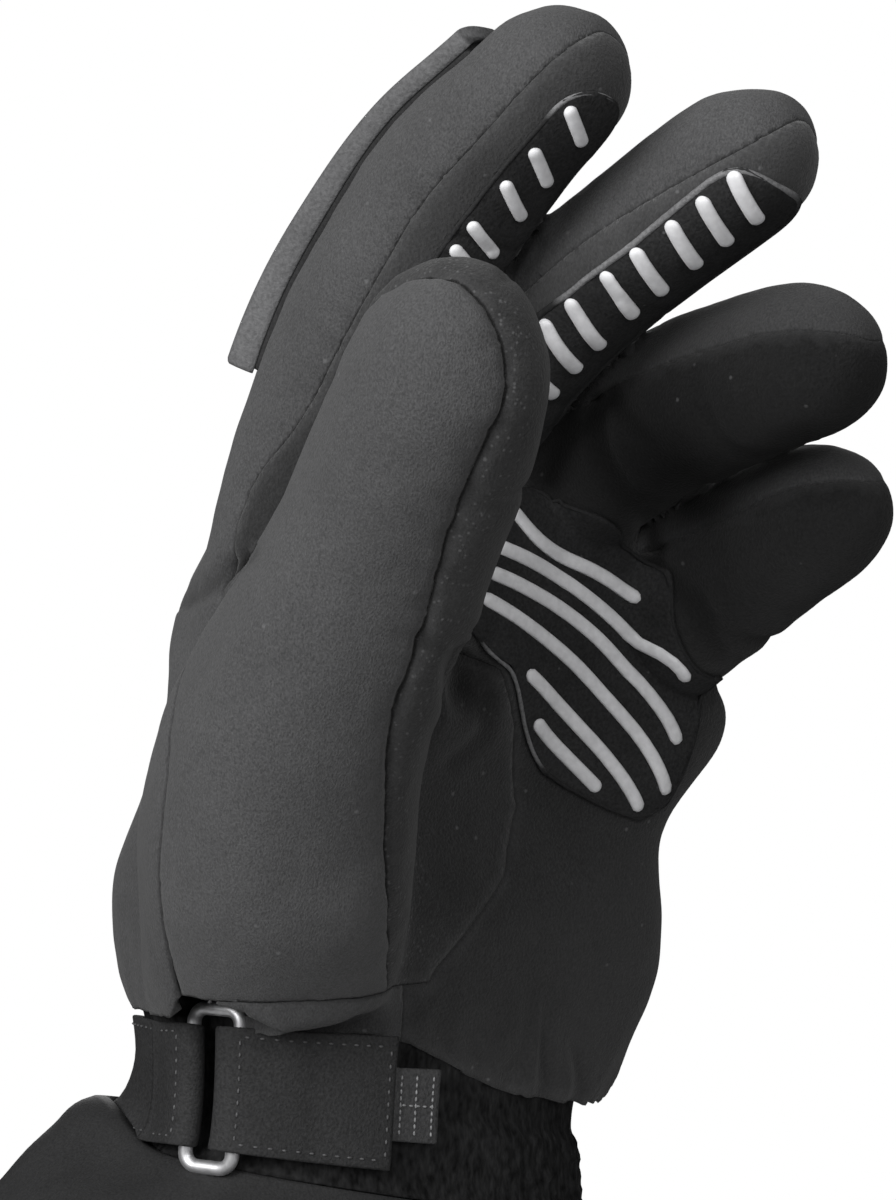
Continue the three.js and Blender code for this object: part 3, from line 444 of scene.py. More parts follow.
def fused_skin():
    """One closed mesh round the hand, the fingers and the thumb."""
    bm = bmesh.new()
    tube(bm, digit_rings(DIGITS["thumb"]))
    floor = Vector((0, 0, THUMB_FLOOR * MM))
    geometry = bm.verts[:] + bm.edges[:] + bm.faces[:]
    cut = bmesh.ops.bisect_plane(bm, geom=geometry, plane_co=floor, plane_no=(0, 0, 1), clear_inner=True)
    rim = [item for item in cut["geom_cut"] if isinstance(item, bmesh.types.BMEdge)]
    bmesh.ops.holes_fill(bm, edges=rim, sides=0)
    tube(bm, hand_rings())
    for name in FINGERS:
        tube(bm, digit_rings(DIGITS[name]))
    bmesh.ops.recalc_face_normals(bm, faces=bm.faces)
    mesh = bpy.data.meshes.new("skin")
    bm.to_mesh(mesh)
    bm.free()
    form = bpy.data.objects.new("skin", mesh)
    bpy.context.scene.collection.objects.link(form)
    remesh = form.modifiers.new("fuse", "REMESH")
    remesh.mode = "VOXEL"
    remesh.voxel_size = VOXEL * MM
    fused = form.evaluated_get(bpy.context.evaluated_depsgraph_get())
    skin = bmesh.new()
    skin.from_mesh(fused.to_mesh())
    bpy.data.objects.remove(form)
    return skin


def smoothed(points, edges, rounds, share=0.5):
    """Moves each point towards the middle of its neighbours, a few times over."""
    count = np.bincount(edges.ravel(), minlength=len(points))[:, None]
    for _ in range(rounds):
        total = np.zeros_like(points)
        np.add.at(total, edges[:, 0], points[edges[:, 1]])
        np.add.at(total, edges[:, 1], points[edges[:, 0]])
        points = points + share * (total / count - points)
    return points


def points_of(bm):
    return np.array([vert.co for vert in bm.verts], float) / MM


def edges_of(bm):
    bm.verts.index_update()
    return np.array([(e.verts[0].index, e.verts[1].index) for e in bm.edges])


def move_points(bm, points):
    for vert, point in zip(bm.verts, points):
        vert.co = Vector(point) * MM
    bm.normal_update()


skin = fused_skin()
links = edges_of(skin)
move_points(skin, smoothed(points_of(skin), links, ROUNDS))
print("skin:", len(skin.verts), "points")

# %% [markdown]
# Every seam is a line on the skin, and a line is easiest to state as the place where a number changes its
# sign. So each point learns how far it lies along each digit and to which side of each seam.

# %% Where each point lies
BLOCK = 4000  # this many points are looked up at a time
FINGER_SEAMS = {"before": 24, "over": 26}  # where the seams of the fingers take over from the hand's


def along_digit(one, points):
    """Each point's place along a digit's middle line, and how far it lies beside it."""
    line = one["line"]
    nearest = np.empty(len(points), int)
    for start in range(0, len(points), BLOCK):
        block = points[start:start + BLOCK]
        gap = ((block[:, None, :] - line["place"][None]) ** 2).sum(-1)
        nearest[start:start + BLOCK] = gap.argmin(1)
    off = points - line["place"][nearest]
    s = nearest + (off * line["along"][nearest]).sum(1)
    u = off @ line["side"]
    v = (off * line["palm"][nearest]).sum(1)
    return s, u, v


def tip_share(one, s):
    """How much of its full section a digit still has at a place, down to none at its tip."""
    into = np.clip((s - one["length"] + one["cap"]) / one["cap"], 0, 1)
    return np.sqrt(1 - into * into)


def hand_side(points):
    """How far towards the palm a point lies from the seam along the edges of the hand."""
    z = points[:, 2]
    for _ in range(2):
        u = points[:, 1] - value(HAND, "y", "z", z)
        z = points[:, 2] + value(HAND, "dip", "z", z) * u
    u = points[:, 1] - value(HAND, "y", "z", z)
    v = points[:, 0] - value(HAND, "x", "z", z)
    rise = smooth((z - SIDE_SEAM["start"]) / (SIDE_SEAM["end"] - SIDE_SEAM["start"]))
    side = SIDE_SEAM["under"] + (SIDE_SEAM["above"] - SIDE_SEAM["under"]) * rise
    share = np.minimum(1, np.abs(u) / value(HAND, "across", "z", z))
    cup = value(HAND, "cup", "z", z)
    lift = np.where(u > 0, cup, THUMB_CUP * cup + side * value(HAND, "thick", "z", z)) * share
    return v - lift


def digit_side(one, s, v):
    """How far towards the palm a point lies from the seam along a finger."""
    return v - digit_size(one, "seam", s) * digit_size(one, "thick", s) * tip_share(one, s)


def inside_outline(outline, a, b):
    """Distance of flat points from an outline, above zero inside it."""
    corners = np.array(outline, float)
    nearest = np.full(len(a), 1e9)
    inside = np.zeros(len(a), bool)
    for (a0, b0), (a1, b1) in zip(corners, np.roll(corners, -1, 0)):
        t = np.clip(((a - a0) * (a1 - a0) + (b - b0) * (b1 - b0)) / ((a1 - a0) ** 2 + (b1 - b0) ** 2), 0, 1)
        nearest = np.minimum(nearest, np.hypot(a - a0 - t * (a1 - a0), b - b0 - t * (b1 - b0)))
        crosses = (b0 > b) != (b1 > b)
        if b1 != b0:
            inside ^= crosses & (a < (a1 - a0) * (b - b0) / (b1 - b0) + a0)
    return np.where(inside, nearest, -nearest)


def thumb_cloth(points, s, u, v):
    """How far inside the thumb's own cloth a point lies."""
    across, thick = digit_size(DIGITS["thumb"], "across", s), digit_size(DIGITS["thumb"], "thick", s)
    far = across + value(THUMB_EDGE, "far", "s", s)
    seam = np.minimum(value(THUMB_EDGE, "seam", "s", s), far)
    near = np.minimum.reduce([
        u + across + THUMB_NEAR["beside"], v + thick + THUMB_NEAR["behind"], thick + THUMB_NEAR["before"] - v,
        s + THUMB_NEAR["below"],
    ])
    thumb = np.minimum(near, np.maximum(seam - u, np.minimum(far - u, v)))
    gusset = np.minimum(inside_outline(GUSSET, points[:, 1], points[:, 2]), points[:, 0] - GUSSET_BACK)
    return np.minimum(np.maximum(thumb, gusset), points[:, 2] - THUMB_SEAM)


def thumb_front(s, u, v):
    """How far a point lies on the palm's side of the thumb's seam, which slants over its tip."""
    one = DIGITS["thumb"]
    across = digit_size(one, "across", s)
    near, far = digit_size(one, "seam", s), value(THUMB_FAR_SEAM, "share", "s", s)
    slant = near + (far - near) * np.clip((u + across) / (2 * across), 0, 1)
    return v - slant * digit_size(one, "thick", s)


places = points_of(skin)
along = {name: along_digit(one, places) for name, one in DIGITS.items()}
thumb_side = thumb_front(*along["thumb"])
in_thumb = thumb_cloth(places, *along["thumb"])


def roundness(one, s, u, v):
    """One on a digit's own surface, less inside it and more outside."""
    return np.hypot(u / digit_size(one, "across", s), v / digit_size(one, "thick", s))


def on_fingers(along, before, over):
    """For each finger's name, the share with which each point is on it, from a little before its root."""
    gaps = [roundness(DIGITS[name], *along[name]) + (along[name][0] < 1) for name in FINGERS]
    own = np.stack(gaps).argmin(0)
    for number, name in enumerate(FINGERS):
        yield name, smooth((along[name][0] - DIGITS[name]["root"] + before) / over) * (own == number)


palm_side = hand_side(places)
for name, share in on_fingers(along, **FINGER_SEAMS):
    s, u, v = along[name]
    palm_side = palm_side * (1 - share) + digit_side(DIGITS[name], s, v) * share
print("points in the thumb's cloth:", int((in_thumb > 0).sum()))

# %% [markdown]
# A seam follows the sewn edge of two cloths. The skin is cut exactly on that line: each edge that crosses
# it is split where the number is zero, and the new points are joined. Scraps that a number leaves on the
# wrong side are given back first, so that each cloth is one piece.

# %% Cut the skin into cloths
SNAP = 0.15  # a crossing nearer to a point than this share of the edge moves the point instead
SLIVER = 0.25  # points nearer to each other than this are joined after a cut
BARELY = 0.05  # a scrap's points are set this far beyond the line


def give_back_scraps(bm, numbers):
    """Turns every patch of points but the largest on each side to the other side."""
    numbers = numbers.copy()
    bm.verts.ensure_lookup_table()
    for above in (True, False):
        seen = np.zeros(len(numbers), bool)
        groups = []
        for first in range(len(numbers)):
            if seen[first] or (numbers[first] > 0) != above:
                continue
            seen[first] = True
            group = [first]
            for index in group:
                for edge in bm.verts[index].link_edges:
                    other = edge.other_vert(bm.verts[index]).index
                    if not seen[other] and (numbers[other] > 0) == above:
                        seen[other] = True
                        group.append(other)
            groups.append(group)
        groups.sort(key=len)
        for group in groups[:-1]:
            numbers[group] = -BARELY if above else BARELY
    return numbers


def remember(bm, name, numbers):
    layer = bm.verts.layers.float.new(name)
    for vert, number in zip(bm.verts, numbers):
        vert[layer] = number


def cut_where_zero(bm, name):
    """Splits the faces along the line on which a layer is zero."""
    layer = bm.verts.layers.float[name]
    on_line = {}  # a dictionary keeps the order, so that the cut is the same each time
    for edge in list(bm.edges):
        first, second = edge.verts
        if (first[layer] < 0) == (second[layer] < 0):
            continue
        share = first[layer] / (first[layer] - second[layer])
        if share < SNAP or share > 1 - SNAP:
            near = first if share < SNAP else second
            near.co = first.co.lerp(second.co, share)
            near[layer] = 0.0
            on_line[near] = True
        else:
            middle = bmesh.utils.edge_split(edge, first, share)[1]
            middle[layer] = 0.0
            on_line[middle] = True
    bmesh.ops.connect_verts(bm, verts=list(on_line))
    bmesh.ops.remove_doubles(bm, verts=bm.verts, dist=SLIVER * MM)


def above_line(face, layer):
    """Whether a face lies above the line. One with all its points on it goes with its longer neighbours."""
    total = sum(vert[layer] for vert in face.verts)
    if abs(total) < 1e-6:
        for edge in face.edges:
            for other in edge.link_faces:
                if other != face:
                    total += math.copysign(edge.calc_length(), sum(vert[layer] for vert in other.verts))
    return total > 0


def side_of(bm, name, wanted):
    """A copy of the mesh with only the faces on one side of the line."""
    part = bm.copy()
    layer = part.verts.layers.float[name]
    gone = [face for face in part.faces if above_line(face, layer) != wanted]
    bmesh.ops.delete(part, geom=gone, context="FACES")
    return part


skin.verts.index_update()
remember(skin, "in_thumb", give_back_scraps(skin, in_thumb))
remember(skin, "palm_side", give_back_scraps(skin, palm_side))
remember(skin, "thumb_side", give_back_scraps(skin, thumb_side))
outward = skin.verts.layers.float_vector.new("outward")
for vert in skin.verts:
    vert[outward] = vert.normal

WRIST_Y = float(value(HAND, "y", "z", HAND_SEAM))
WRIST_DIP = float(value(HAND, "dip", "z", HAND_SEAM))
trim = {"plane_co": Vector((0, WRIST_Y, HAND_SEAM)) * MM, "plane_no": (0, WRIST_DIP, 1)}
bmesh.ops.bisect_plane(skin, geom=skin.verts[:] + skin.edges[:] + skin.faces[:], clear_inner=True, **trim)
cut_where_zero(skin, "in_thumb")
hand_skin, thumb_skin = side_of(skin, "in_thumb", False), side_of(skin, "in_thumb", True)
cut_where_zero(hand_skin, "palm_side")
cut_where_zero(thumb_skin, "thumb_side")
CLOTHS = {
    "back_of_hand": side_of(hand_skin, "palm_side", False),
    "palm_of_hand": side_of(hand_skin, "palm_side", True),
    "back_of_thumb": side_of(thumb_skin, "thumb_side", False),
    "front_of_thumb": side_of(thumb_skin, "thumb_side", True),
}
for name, cloth in CLOTHS.items():
    print(name, len(cloth.faces), "faces")

# %% [markdown]
# Wadding pushes a cloth out and a seam holds it down, so the surface sinks into a narrow groove at each
# seam, with small puckers beside it. Away from the seams it is a little lumpy. The bends of the fingers
# press creases into the palm side, and the folds that the photograph shows are drawn as lines in its own
# pixels. All of this moves each point along its own outward direction. At the wrist the cloth also hangs
# down over the elastic band. Each point keeps how dark a painted shadow it gets in a fold, and its
# painted light and shade, darker low on the back and set for each finger, which the materials read later.

# %% Grooves, puckers and creases
GROOVE = {"deep": 1.1, "wide": 0.9, "valley": 0.7, "broad": 3.4}
FINGER_SEAM = 0.2  # the fingers' seams are soft and shallow beside the thumb's own
EDGE_SEAM = 0.35  # and so is the seam round the edge of the thumb's cloth
PAINTED_LIGHT = {  # painted light and shade on each finger: the back's cloth, then the palm's
    "index": (1, 1.35), "middle": (1, 1.7), "ring": (0.56, 0.42), "little": (0.75, 0.62),
}
PAINTED_LIGHT_CHANGES = {"before": 8, "over": 24}  # where the fingers' painted light takes over from the hand's
PUCKER = {"high": 0.5, "size": 3.4, "reach": 5.0}
LUMP = {"high": 0.7, "size": 19.0}
RIPPLE = {"high": 0.22, "size": 6.0}
GATHER = {"high": 1.3, "pitch": 9.5, "reach": 12.0, "free": 0.4, "drawn": 2.0, "round": 42, "bend": 7,
          "bend_size": 11, "usual": 0.7, "uneven": 0.8, "uneven_size": 13, "least": 0.1, "most": 1.2}
HANG = {"palm": 6.6, "around": 20, "spread": 108, "fade": 60, "reach": 26.0, "below_thumb": 3,
        "back": 4.0, "back_around": 240, "back_spread": 115, "back_fade": 30}
CREASES = {
    "index": table("s deep", (34, 1.1), (66, 0.7), (72, 0.5), (98, 0.6)),
    "middle": table("s deep", (30, 1.2), (68, 0.7), (96, 0.5)),
    "ring": table("s deep", (40, 1.5), (66, 1.4), (73, 0.9), (93, 1.2)),
    "little": table("s deep", (30, 1.6), (38, 1.2), (57, 1.4)),
    "thumb": table("s deep", (92, 1.0), (118, 1.0)),
}
CREASE = {
    "wide": 1.9, "bank": 0.45, "bank_wide": 3, "before": 0.25, "over": 0.8, "reach": 1.35, "fade": 0.2,
}
# Each fold's shade is a painted shadow: how dark the cloth is painted along its line.
PHOTO_FOLDS = table(
    "deep wide shade line",
    (0.5, 2.2, 1.0, [(644, 324), (602, 356), (574, 400), (560, 440), (552, 480)]),
    (0.3, 1.2, 0.9, [(580, 166), (545, 215), (508, 276)]),
    (2.0, 1.8, 0.8, [(612, 398), (640, 432), (668, 462), (690, 485)]),
    (2.0, 1.9, 0.85, [(592, 400), (600, 450), (625, 495), (650, 520), (656, 580)]),
    (0.8, 6.5, 1.0, [(668, 472), (696, 500)]),
    (0.0, 2.6, 0.9, [(690, 496), (740, 474), (806, 442)]),
    (2.2, 1.9, 0.6, [(668, 575), (690, 600), (718, 650)]),
    (1.6, 1.5, 0.5, [(248, 552), (215, 582), (184, 602)]),
    (1.3, 1.5, 0.5, [(484, 640), (492, 690), (480, 735), (452, 762)]),
    (6.0, 3.2, 1.0, [(466, 668), (468, 694)]),
)
FOLD_BANK = {"high": 0.25, "spread": 7}
FOLD_STARTS = 0.03  # what a fold does below this is left out
HIDDEN = 3  # a point this far behind the skin that faces the camera isn't in the photograph
FOLD_REST = {"rounds": 24, "share": 1.6}  # the cloth deep in a fold is smoothed
# Painted shade: the back of the hand is darker below this height.
LOWER_BACK_PAINTED_SHADE = {"darker": 0.16, "from": 130, "over": 20}
THUMB_RIM = {"full": 1.2, "fade": 14}  # the rubbed edge of the thumb's front
EDGE_REACH = 6

seam_points = []
for cloth in CLOTHS.values():
    for edge in cloth.edges:
        if edge.is_boundary:
            ends = [Vector(vert.co) / MM for vert in edge.verts]
            seam_points += [ends[0].lerp(ends[1], share) for share in (0, 0.33, 0.67)]
seams = kdtree.KDTree(len(seam_points))
for number, point in enumerate(seam_points):
    seams.insert(point, number)
seams.balance()


def crease_at(points):
    """How deep the bends of the digits press into the palm side, at each point."""
    total = np.zeros(len(points))
    for name, rows in CREASES.items():
        one = DIGITS[name]
        s, u, v = along_digit(one, points)
        ratio = roundness(one, s, u, v)
        front = smooth((v / digit_size(one, "thick", s) + CREASE["before"]) / CREASE["over"])
        near = front * smooth((CREASE["reach"] - ratio) / CREASE["fade"])
        for row in rows:
            off = (s - row["s"]) / CREASE["wide"]
            bank = CREASE["bank"] * np.exp(-(off * off) / CREASE["bank_wide"] ** 2)
            total -= row["deep"] * near * (np.exp(-off * off) - bank)
    return total


def line_distance(x, y, line):
    """Distance of flat points from a row of straight pieces."""
    nearest = np.full(len(x), 1e9)
    for (x0, y0), (x1, y1) in zip(line, line[1:]):
        t = np.clip(((x - x0) * (x1 - x0) + (y - y0) * (y1 - y0)) / ((x1 - x0) ** 2 + (y1 - y0) ** 2), 0, 1)
        nearest = np.minimum(nearest, np.hypot(x - x0 - t * (x1 - x0), y - y0 - t * (y1 - y0)))
    return nearest


def photo_folds(points):
    """How far points move in the folds the photograph shows, and the darkness of their painted shadow."""
    x, y, scale = in_photo(points)
    moves, painted_shadows = np.zeros(len(points)), np.zeros(len(points))
    for fold in PHOTO_FOLDS:
        off = line_distance(x, y, fold["line"]) / scale / fold["wide"]
        bank = FOLD_BANK["high"] * np.exp(-(off * off) / FOLD_BANK["spread"])
        moves -= fold["deep"] * (np.exp(-off * off) - bank)
        # the painted shadow along each fold line
        painted_shadows = np.maximum(painted_shadows, fold["shade"] * np.exp(-off * off))
    for i in np.nonzero(np.abs(moves) + painted_shadows > FOLD_STARTS)[0]:
        towards = Vector(points[i]) - eye
        reached = whole_skin.ray_cast(eye * MM, towards.normalized())[3]
        if reached is not None and reached < (towards.length - HIDDEN) * MM:
            moves[i] = painted_shadows[i] = 0.0
    return moves, painted_shadows


def painted_light_at(points, palm):
    """The painted light and shade at each point: darker low on the back, and set for each finger."""
    low = smooth((LOWER_BACK_PAINTED_SHADE["from"] - points[:, 2]) / LOWER_BACK_PAINTED_SHADE["over"])
    tone_with_painted_light = 1 - (0 if palm else LOWER_BACK_PAINTED_SHADE["darker"]) * low
    along = {name: along_digit(DIGITS[name], points) for name in FINGERS}
    for name, share in on_fingers(along, **PAINTED_LIGHT_CHANGES):
        tone_with_painted_light += (PAINTED_LIGHT[name][palm] - 1) * share
    return tone_with_painted_light


def soft_move(point, gap, sewn):
    """How far a point moves outwards, apart from creases. sewn is the share of the groove at its seam."""
    move = LUMP["high"] * noise.noise(point / LUMP["size"])
    move += RIPPLE["high"] * noise.noise(point / RIPPLE["size"])
    move -= sewn * GROOVE["deep"] * math.exp(-((gap / GROOVE["wide"]) ** 2))
    move -= sewn * GROOVE["valley"] * math.exp(-((gap / GROOVE["broad"]) ** 2))
    near = math.exp(-((gap / PUCKER["reach"]) ** 2))
    move += sewn * PUCKER["high"] * near * noise.noise(point / PUCKER["size"])
    return move


def at_wrist(points, from_thumb):
    """How far points move outwards and down where the cloth hangs in folds over the elastic band."""
    u = points[:, 1] - WRIST_Y
    v = points[:, 0] - float(value(HAND, "x", "z", HAND_SEAM))
    above = np.maximum(0, points[:, 2] - HAND_SEAM + WRIST_DIP * u)
    angle = np.degrees(np.arctan2(v, u))
    palm = smooth((HANG["spread"] - np.abs(turn_between(angle, HANG["around"]))) / HANG["fade"])
    off_back = np.abs(turn_between(angle, HANG["back_around"]))
    back = smooth((HANG["back_spread"] - off_back) / HANG["back_fade"])
    down = np.maximum(HANG["palm"] * palm, HANG["back"] * back) * smooth(from_thumb / HANG["below_thumb"])
    down = down * np.clip(1 - above / HANG["reach"], 0, 1) ** 2
    bend = np.array([noise.noise(Vector(point) / GATHER["bend_size"]) for point in points])
    elsewhere = Vector((7, 0, 0))
    uneven = [noise.noise(Vector(point) / GATHER["uneven_size"] + elsewhere) for point in points]
    uneven = GATHER["usual"] + GATHER["uneven"] * np.array(uneven)
    uneven = np.clip(uneven, GATHER["least"], GATHER["most"])
    phase = 2 * math.pi * np.radians(angle) * GATHER["round"] / GATHER["pitch"] + GATHER["bend"] * bend
    pleat = (0.5 + 0.5 * np.sin(phase)) * uneven
    fade = np.exp(-((above / GATHER["reach"]) ** 2))
    loose = np.maximum(palm, GATHER["free"])
    return (GATHER["high"] * pleat * loose - GATHER["drawn"] * palm) * fade, down


def dress_up(cloth, gathered, palm):
    """Moves the points of one cloth and keeps each one's distance from the seams."""
    outward = cloth.verts.layers.float_vector["outward"]
    gap_layer = cloth.verts.layers.float.new("seam_gap")
    points = points_of(cloth)
    # The folds also give each point the darkness of its painted shadow.
    moves, painted_shadows = photo_folds(points)
    moves, downs = moves + crease_at(points), np.zeros(len(points))
    layer = cloth.verts.layers.float["in_thumb"]
    from_edge = np.abs([vert[layer] for vert in cloth.verts])
    if gathered:
        pulls, downs = at_wrist(points, from_edge)
        moves += pulls
        # Painted light and shade for the hand's cloth; the thumb's cloth gets none.
        sewn, rim, tone_with_painted_light = np.full(len(points), FINGER_SEAM), np.zeros(len(points)), painted_light_at(points, palm)
    else:
        sewn = EDGE_SEAM + (1 - EDGE_SEAM) * smooth(from_edge / EDGE_REACH)
        rim_gap = np.abs(thumb_front(*along_digit(DIGITS["thumb"], points)))
        rim, tone_with_painted_light = smooth(THUMB_RIM["full"] - rim_gap / THUMB_RIM["fade"]), np.ones(len(points))
    # The painted fold shadow and the painted light and shade are kept for the materials.
    for name, numbers in {"painted_fold_shadow": painted_shadows, "crisp": sewn, "thumb_rim": rim, "tone_with_painted_light": tone_with_painted_light}.items():
        remember(cloth, name, numbers)
    for vert, move, down, share in zip(cloth.verts, moves, downs, sewn):
        point = vert.co / MM
        gap = seams.find(point)[2]
        vert[gap_layer] = gap
        vert.co += vert[outward].normalized() * (soft_move(point, gap, share) + move) * MM
        vert.co.z -= down * MM
    places = points_of(cloth)
    at_rest = smoothed(places, edges_of(cloth), FOLD_REST["rounds"])
    inner = np.array([not vert.is_boundary for vert in cloth.verts])
    share = np.clip(FOLD_REST["share"] * painted_shadows, 0, 1) * inner
    move_points(cloth, places + (at_rest - places) * share[:, None])


whole_skin = BVHTree.FromBMesh(skin)
for name, cloth in CLOTHS.items():
    dress_up(cloth, gathered=name.endswith("hand"), palm=name.startswith("palm"))
print("seam points:", len(seam_points))

# %% [markdown]
# The cloths of this glove are near black, so their look lives in small things: the grain of the fleecy
# face, the nap of the suede, lint, and the dark line of a seam. Each of these is a node group with its own
# inputs, placed in every material that needs it.

# %% Shader groups for grain, nap, lint and seams


def new_group(name, inputs, outputs):
    """An empty shader group with float inputs, a Vector input first, and float outputs."""
    group = bpy.data.node_groups.new(name, "ShaderNodeTree")
    group.interface.new_socket(name="Vector", in_out="INPUT", socket_type="NodeSocketVector")
    for label, default in inputs.items():
        socket = group.interface.new_socket(name=label, in_out="INPUT", socket_type="NodeSocketFloat")
        socket.default_value = default
    for label in outputs:
        group.interface.new_socket(name=label, in_out="OUTPUT", socket_type="NodeSocketFloat")
    return group, group.nodes.new("NodeGroupInput").outputs, group.nodes.new("NodeGroupOutput").inputs


def node(tree, kind, values=None, **settings):
    """A node with its settings, and each value either linked from a socket or set on its input."""
    made = tree.nodes.new("ShaderNode" + kind)
    for key, setting in settings.items():
        setattr(made, key, setting)
    for key, given in (values or {}).items():
        if isinstance(given, bpy.types.NodeSocket):
            tree.links.new(given, made.inputs[key])
        else:
            made.inputs[key].default_value = given
    return made


def maths(tree, operation, first, second):
    return node(tree, "Math", {0: first, 1: second}, operation=operation).outputs[0]


def spread(tree, given, low, high, to_low=0.0, to_high=1.0):
    """A value stretched from one range to another, without leaving it."""
    values = {"Value": given, "From Min": low, "From Max": high, "To Min": to_low, "To Max": to_high}
    return node(tree, "MapRange", values).outputs["Result"]


NOISE_RANGE = (0.3, 0.7)  # nearly all of a noise's values lie in it


def noise_value(tree, vector, scale, detail=2.0, roughness=0.5):
    values = {"Vector": vector, "Scale": scale, "Detail": detail, "Roughness": roughness}
    return node(tree, "TexNoise", values).outputs["Fac"]


def grain_group():
    """Short lighter and darker fibres. Threads is their number in a metre, Long draws them out."""
    group, given, out = new_group("cloth_grain", {"Threads": 1500.0, "Long": 0.6}, ["Shade", "Height"])
    drawn = node(group, "CombineXYZ", {"X": 1.0, "Y": 1.0, "Z": given["Long"]}).outputs[0]
    vector = node(group, "VectorMath", {0: given["Vector"], 1: drawn}, operation="MULTIPLY").outputs[0]
    fine = noise_value(group, vector, given["Threads"], 1.5, 0.6)
    coarse = noise_value(group, vector, maths(group, "MULTIPLY", given["Threads"], 0.42), 2.0, 0.6)
    both = maths(group, "ADD", maths(group, "MULTIPLY", fine, 0.82), maths(group, "MULTIPLY", coarse, 0.18))
    group.links.new(spread(group, both, *NOISE_RANGE), out["Shade"])
    group.links.new(both, out["Height"])
    return group


def lint_group():
    """Small pale specks, scattered. Size is their number in a metre and Share how many cells hold one."""
    group, given, out = new_group("lint", {"Size": 260.0, "Share": 0.1, "Radius": 0.16}, ["Mask"])
    cells = node(group, "TexVoronoi", {"Vector": given["Vector"], "Scale": given["Size"]})
    chosen = node(group, "SeparateColor", {"Color": cells.outputs["Color"]}).outputs[0]
    kept = maths(group, "LESS_THAN", chosen, given["Share"])
    inner = maths(group, "MULTIPLY", given["Radius"], 0.4)
    round_spot = spread(group, cells.outputs["Distance"], inner, given["Radius"], 1.0, 0.0)
    group.links.new(maths(group, "MULTIPLY", kept, round_spot), out["Mask"])
    return group


def mottle_group():
    """Slow changes of shade, at random over the cloth."""
    group, given, out = new_group("mottle", {"Size": 35.0}, ["Shade"])
    slow = noise_value(group, given["Vector"], given["Size"], 3.0, 0.55)
    group.links.new(spread(group, slow, *NOISE_RANGE), out["Shade"])
    return group


def seam_group():
    """From the distance to a seam, in millimetres: its dark line, and the rubbed edge beside it."""
    group, given, out = new_group("seam_line", {"Gap": 9.0, "Line": 0.35, "Edge": 4.0}, ["Line", "Edge"])
    half = maths(group, "MULTIPLY", given["Line"], 0.5)
    group.links.new(spread(group, given["Gap"], half, given["Line"], 1.0, 0.0), out["Line"])
    rough = maths(group, "MULTIPLY", noise_value(group, given["Vector"], 420.0), given["Edge"])
    group.links.new(spread(group, given["Gap"], 0.0, rough, 1.0, 0.0), out["Edge"])
    return group


GRAIN, LINT, MOTTLE, SEAM = grain_group(), lint_group(), mottle_group(), seam_group()
print("shader groups:", [group.name for group in bpy.data.node_groups])


def placed(tree, group, vector, **values):
    """A group placed in a material with its own values."""
    made = tree.nodes.new("ShaderNodeGroup")
    made.node_tree = group
    tree.links.new(vector, made.inputs["Vector"])
    for label, given in values.items():
        if isinstance(given, bpy.types.NodeSocket):
            tree.links.new(given, made.inputs[label])
        else:
            made.inputs[label].default_value = given
    return made.outputs


def new_material(name, **shader_values):
    """A material with one Principled shader, and Object coordinates for its patterns."""
    material = bpy.data.materials.new(name)
    material.use_nodes = True
    tree = material.node_tree
    shader = next(item for item in tree.nodes if item.type == "BSDF_PRINCIPLED")
    for label, given in shader_values.items():
        shader.inputs[label.replace("_", " ")].default_value = given
    vector = tree.nodes.new("ShaderNodeTexCoord").outputs["Object"]
    return material, tree, shader, vector


def grey(tree, given):
    """A grey colour from one value, a touch bluer than it is red."""
    cool = maths(tree, "MULTIPLY", given, 1.02)
    return node(tree, "CombineColor", {"Red": given, "Green": given, "Blue": cool}).outputs[0]


def lighter(tree, shade, low, high):
    return spread(tree, shade, 0.0, 1.0, low, high)


def product(tree, *factors):
    result = factors[0]
    for factor in factors[1:]:
        result = maths(tree, "MULTIPLY", result, factor)
    return result


def bumped(tree, shader, height, distance, strength):
    """Sends a height to the shader as a bump."""
    bump = node(tree, "Bump", {"Strength": strength, "Distance": distance, "Height": height})
    tree.links.new(bump.outputs["Normal"], shader.inputs["Normal"])


# %% [markdown]
# Softshell has a knitted face with a short even nap: mid grey with fine light and dark fibres. Suede is
# darker, with a softer nap that catches light at its rubbed edges and holds lint, most of all on the front
# of the thumb. Both darken to a thin line at a seam and take a painted shadow deep in a fold, and both take
# painted light and shade, lighter on some fingers and darker on others, as each of their points tells.

# %% Materials of the cloths


def stored(tree, name):
    """A number that each point of the cloth keeps."""
    return node(tree, "Attribute", attribute_name=name).outputs["Fac"]


# The darkest painted shadow in a fold leaves this share of the cloth's tone.
DARKEST_PAINTED_SHADOW = 0.05  # what is left of a cloth's own shade at the bottom of a fold


def seam_line_and_painted_shadow(tree, seam, dark):
    """One on open cloth, darker on a crisp seam, and darker with a painted shadow deep in a fold."""
    line = maths(tree, "MULTIPLY", seam["Line"], stored(tree, "crisp"))
    # A painted shadow darkens the cloth deep in a fold.
    painted_fold_darkening = lighter(tree, stored(tree, "painted_fold_shadow"), 1.0, DARKEST_PAINTED_SHADOW)
    return product(tree, lighter(tree, line, 1.0, dark), painted_fold_darkening)


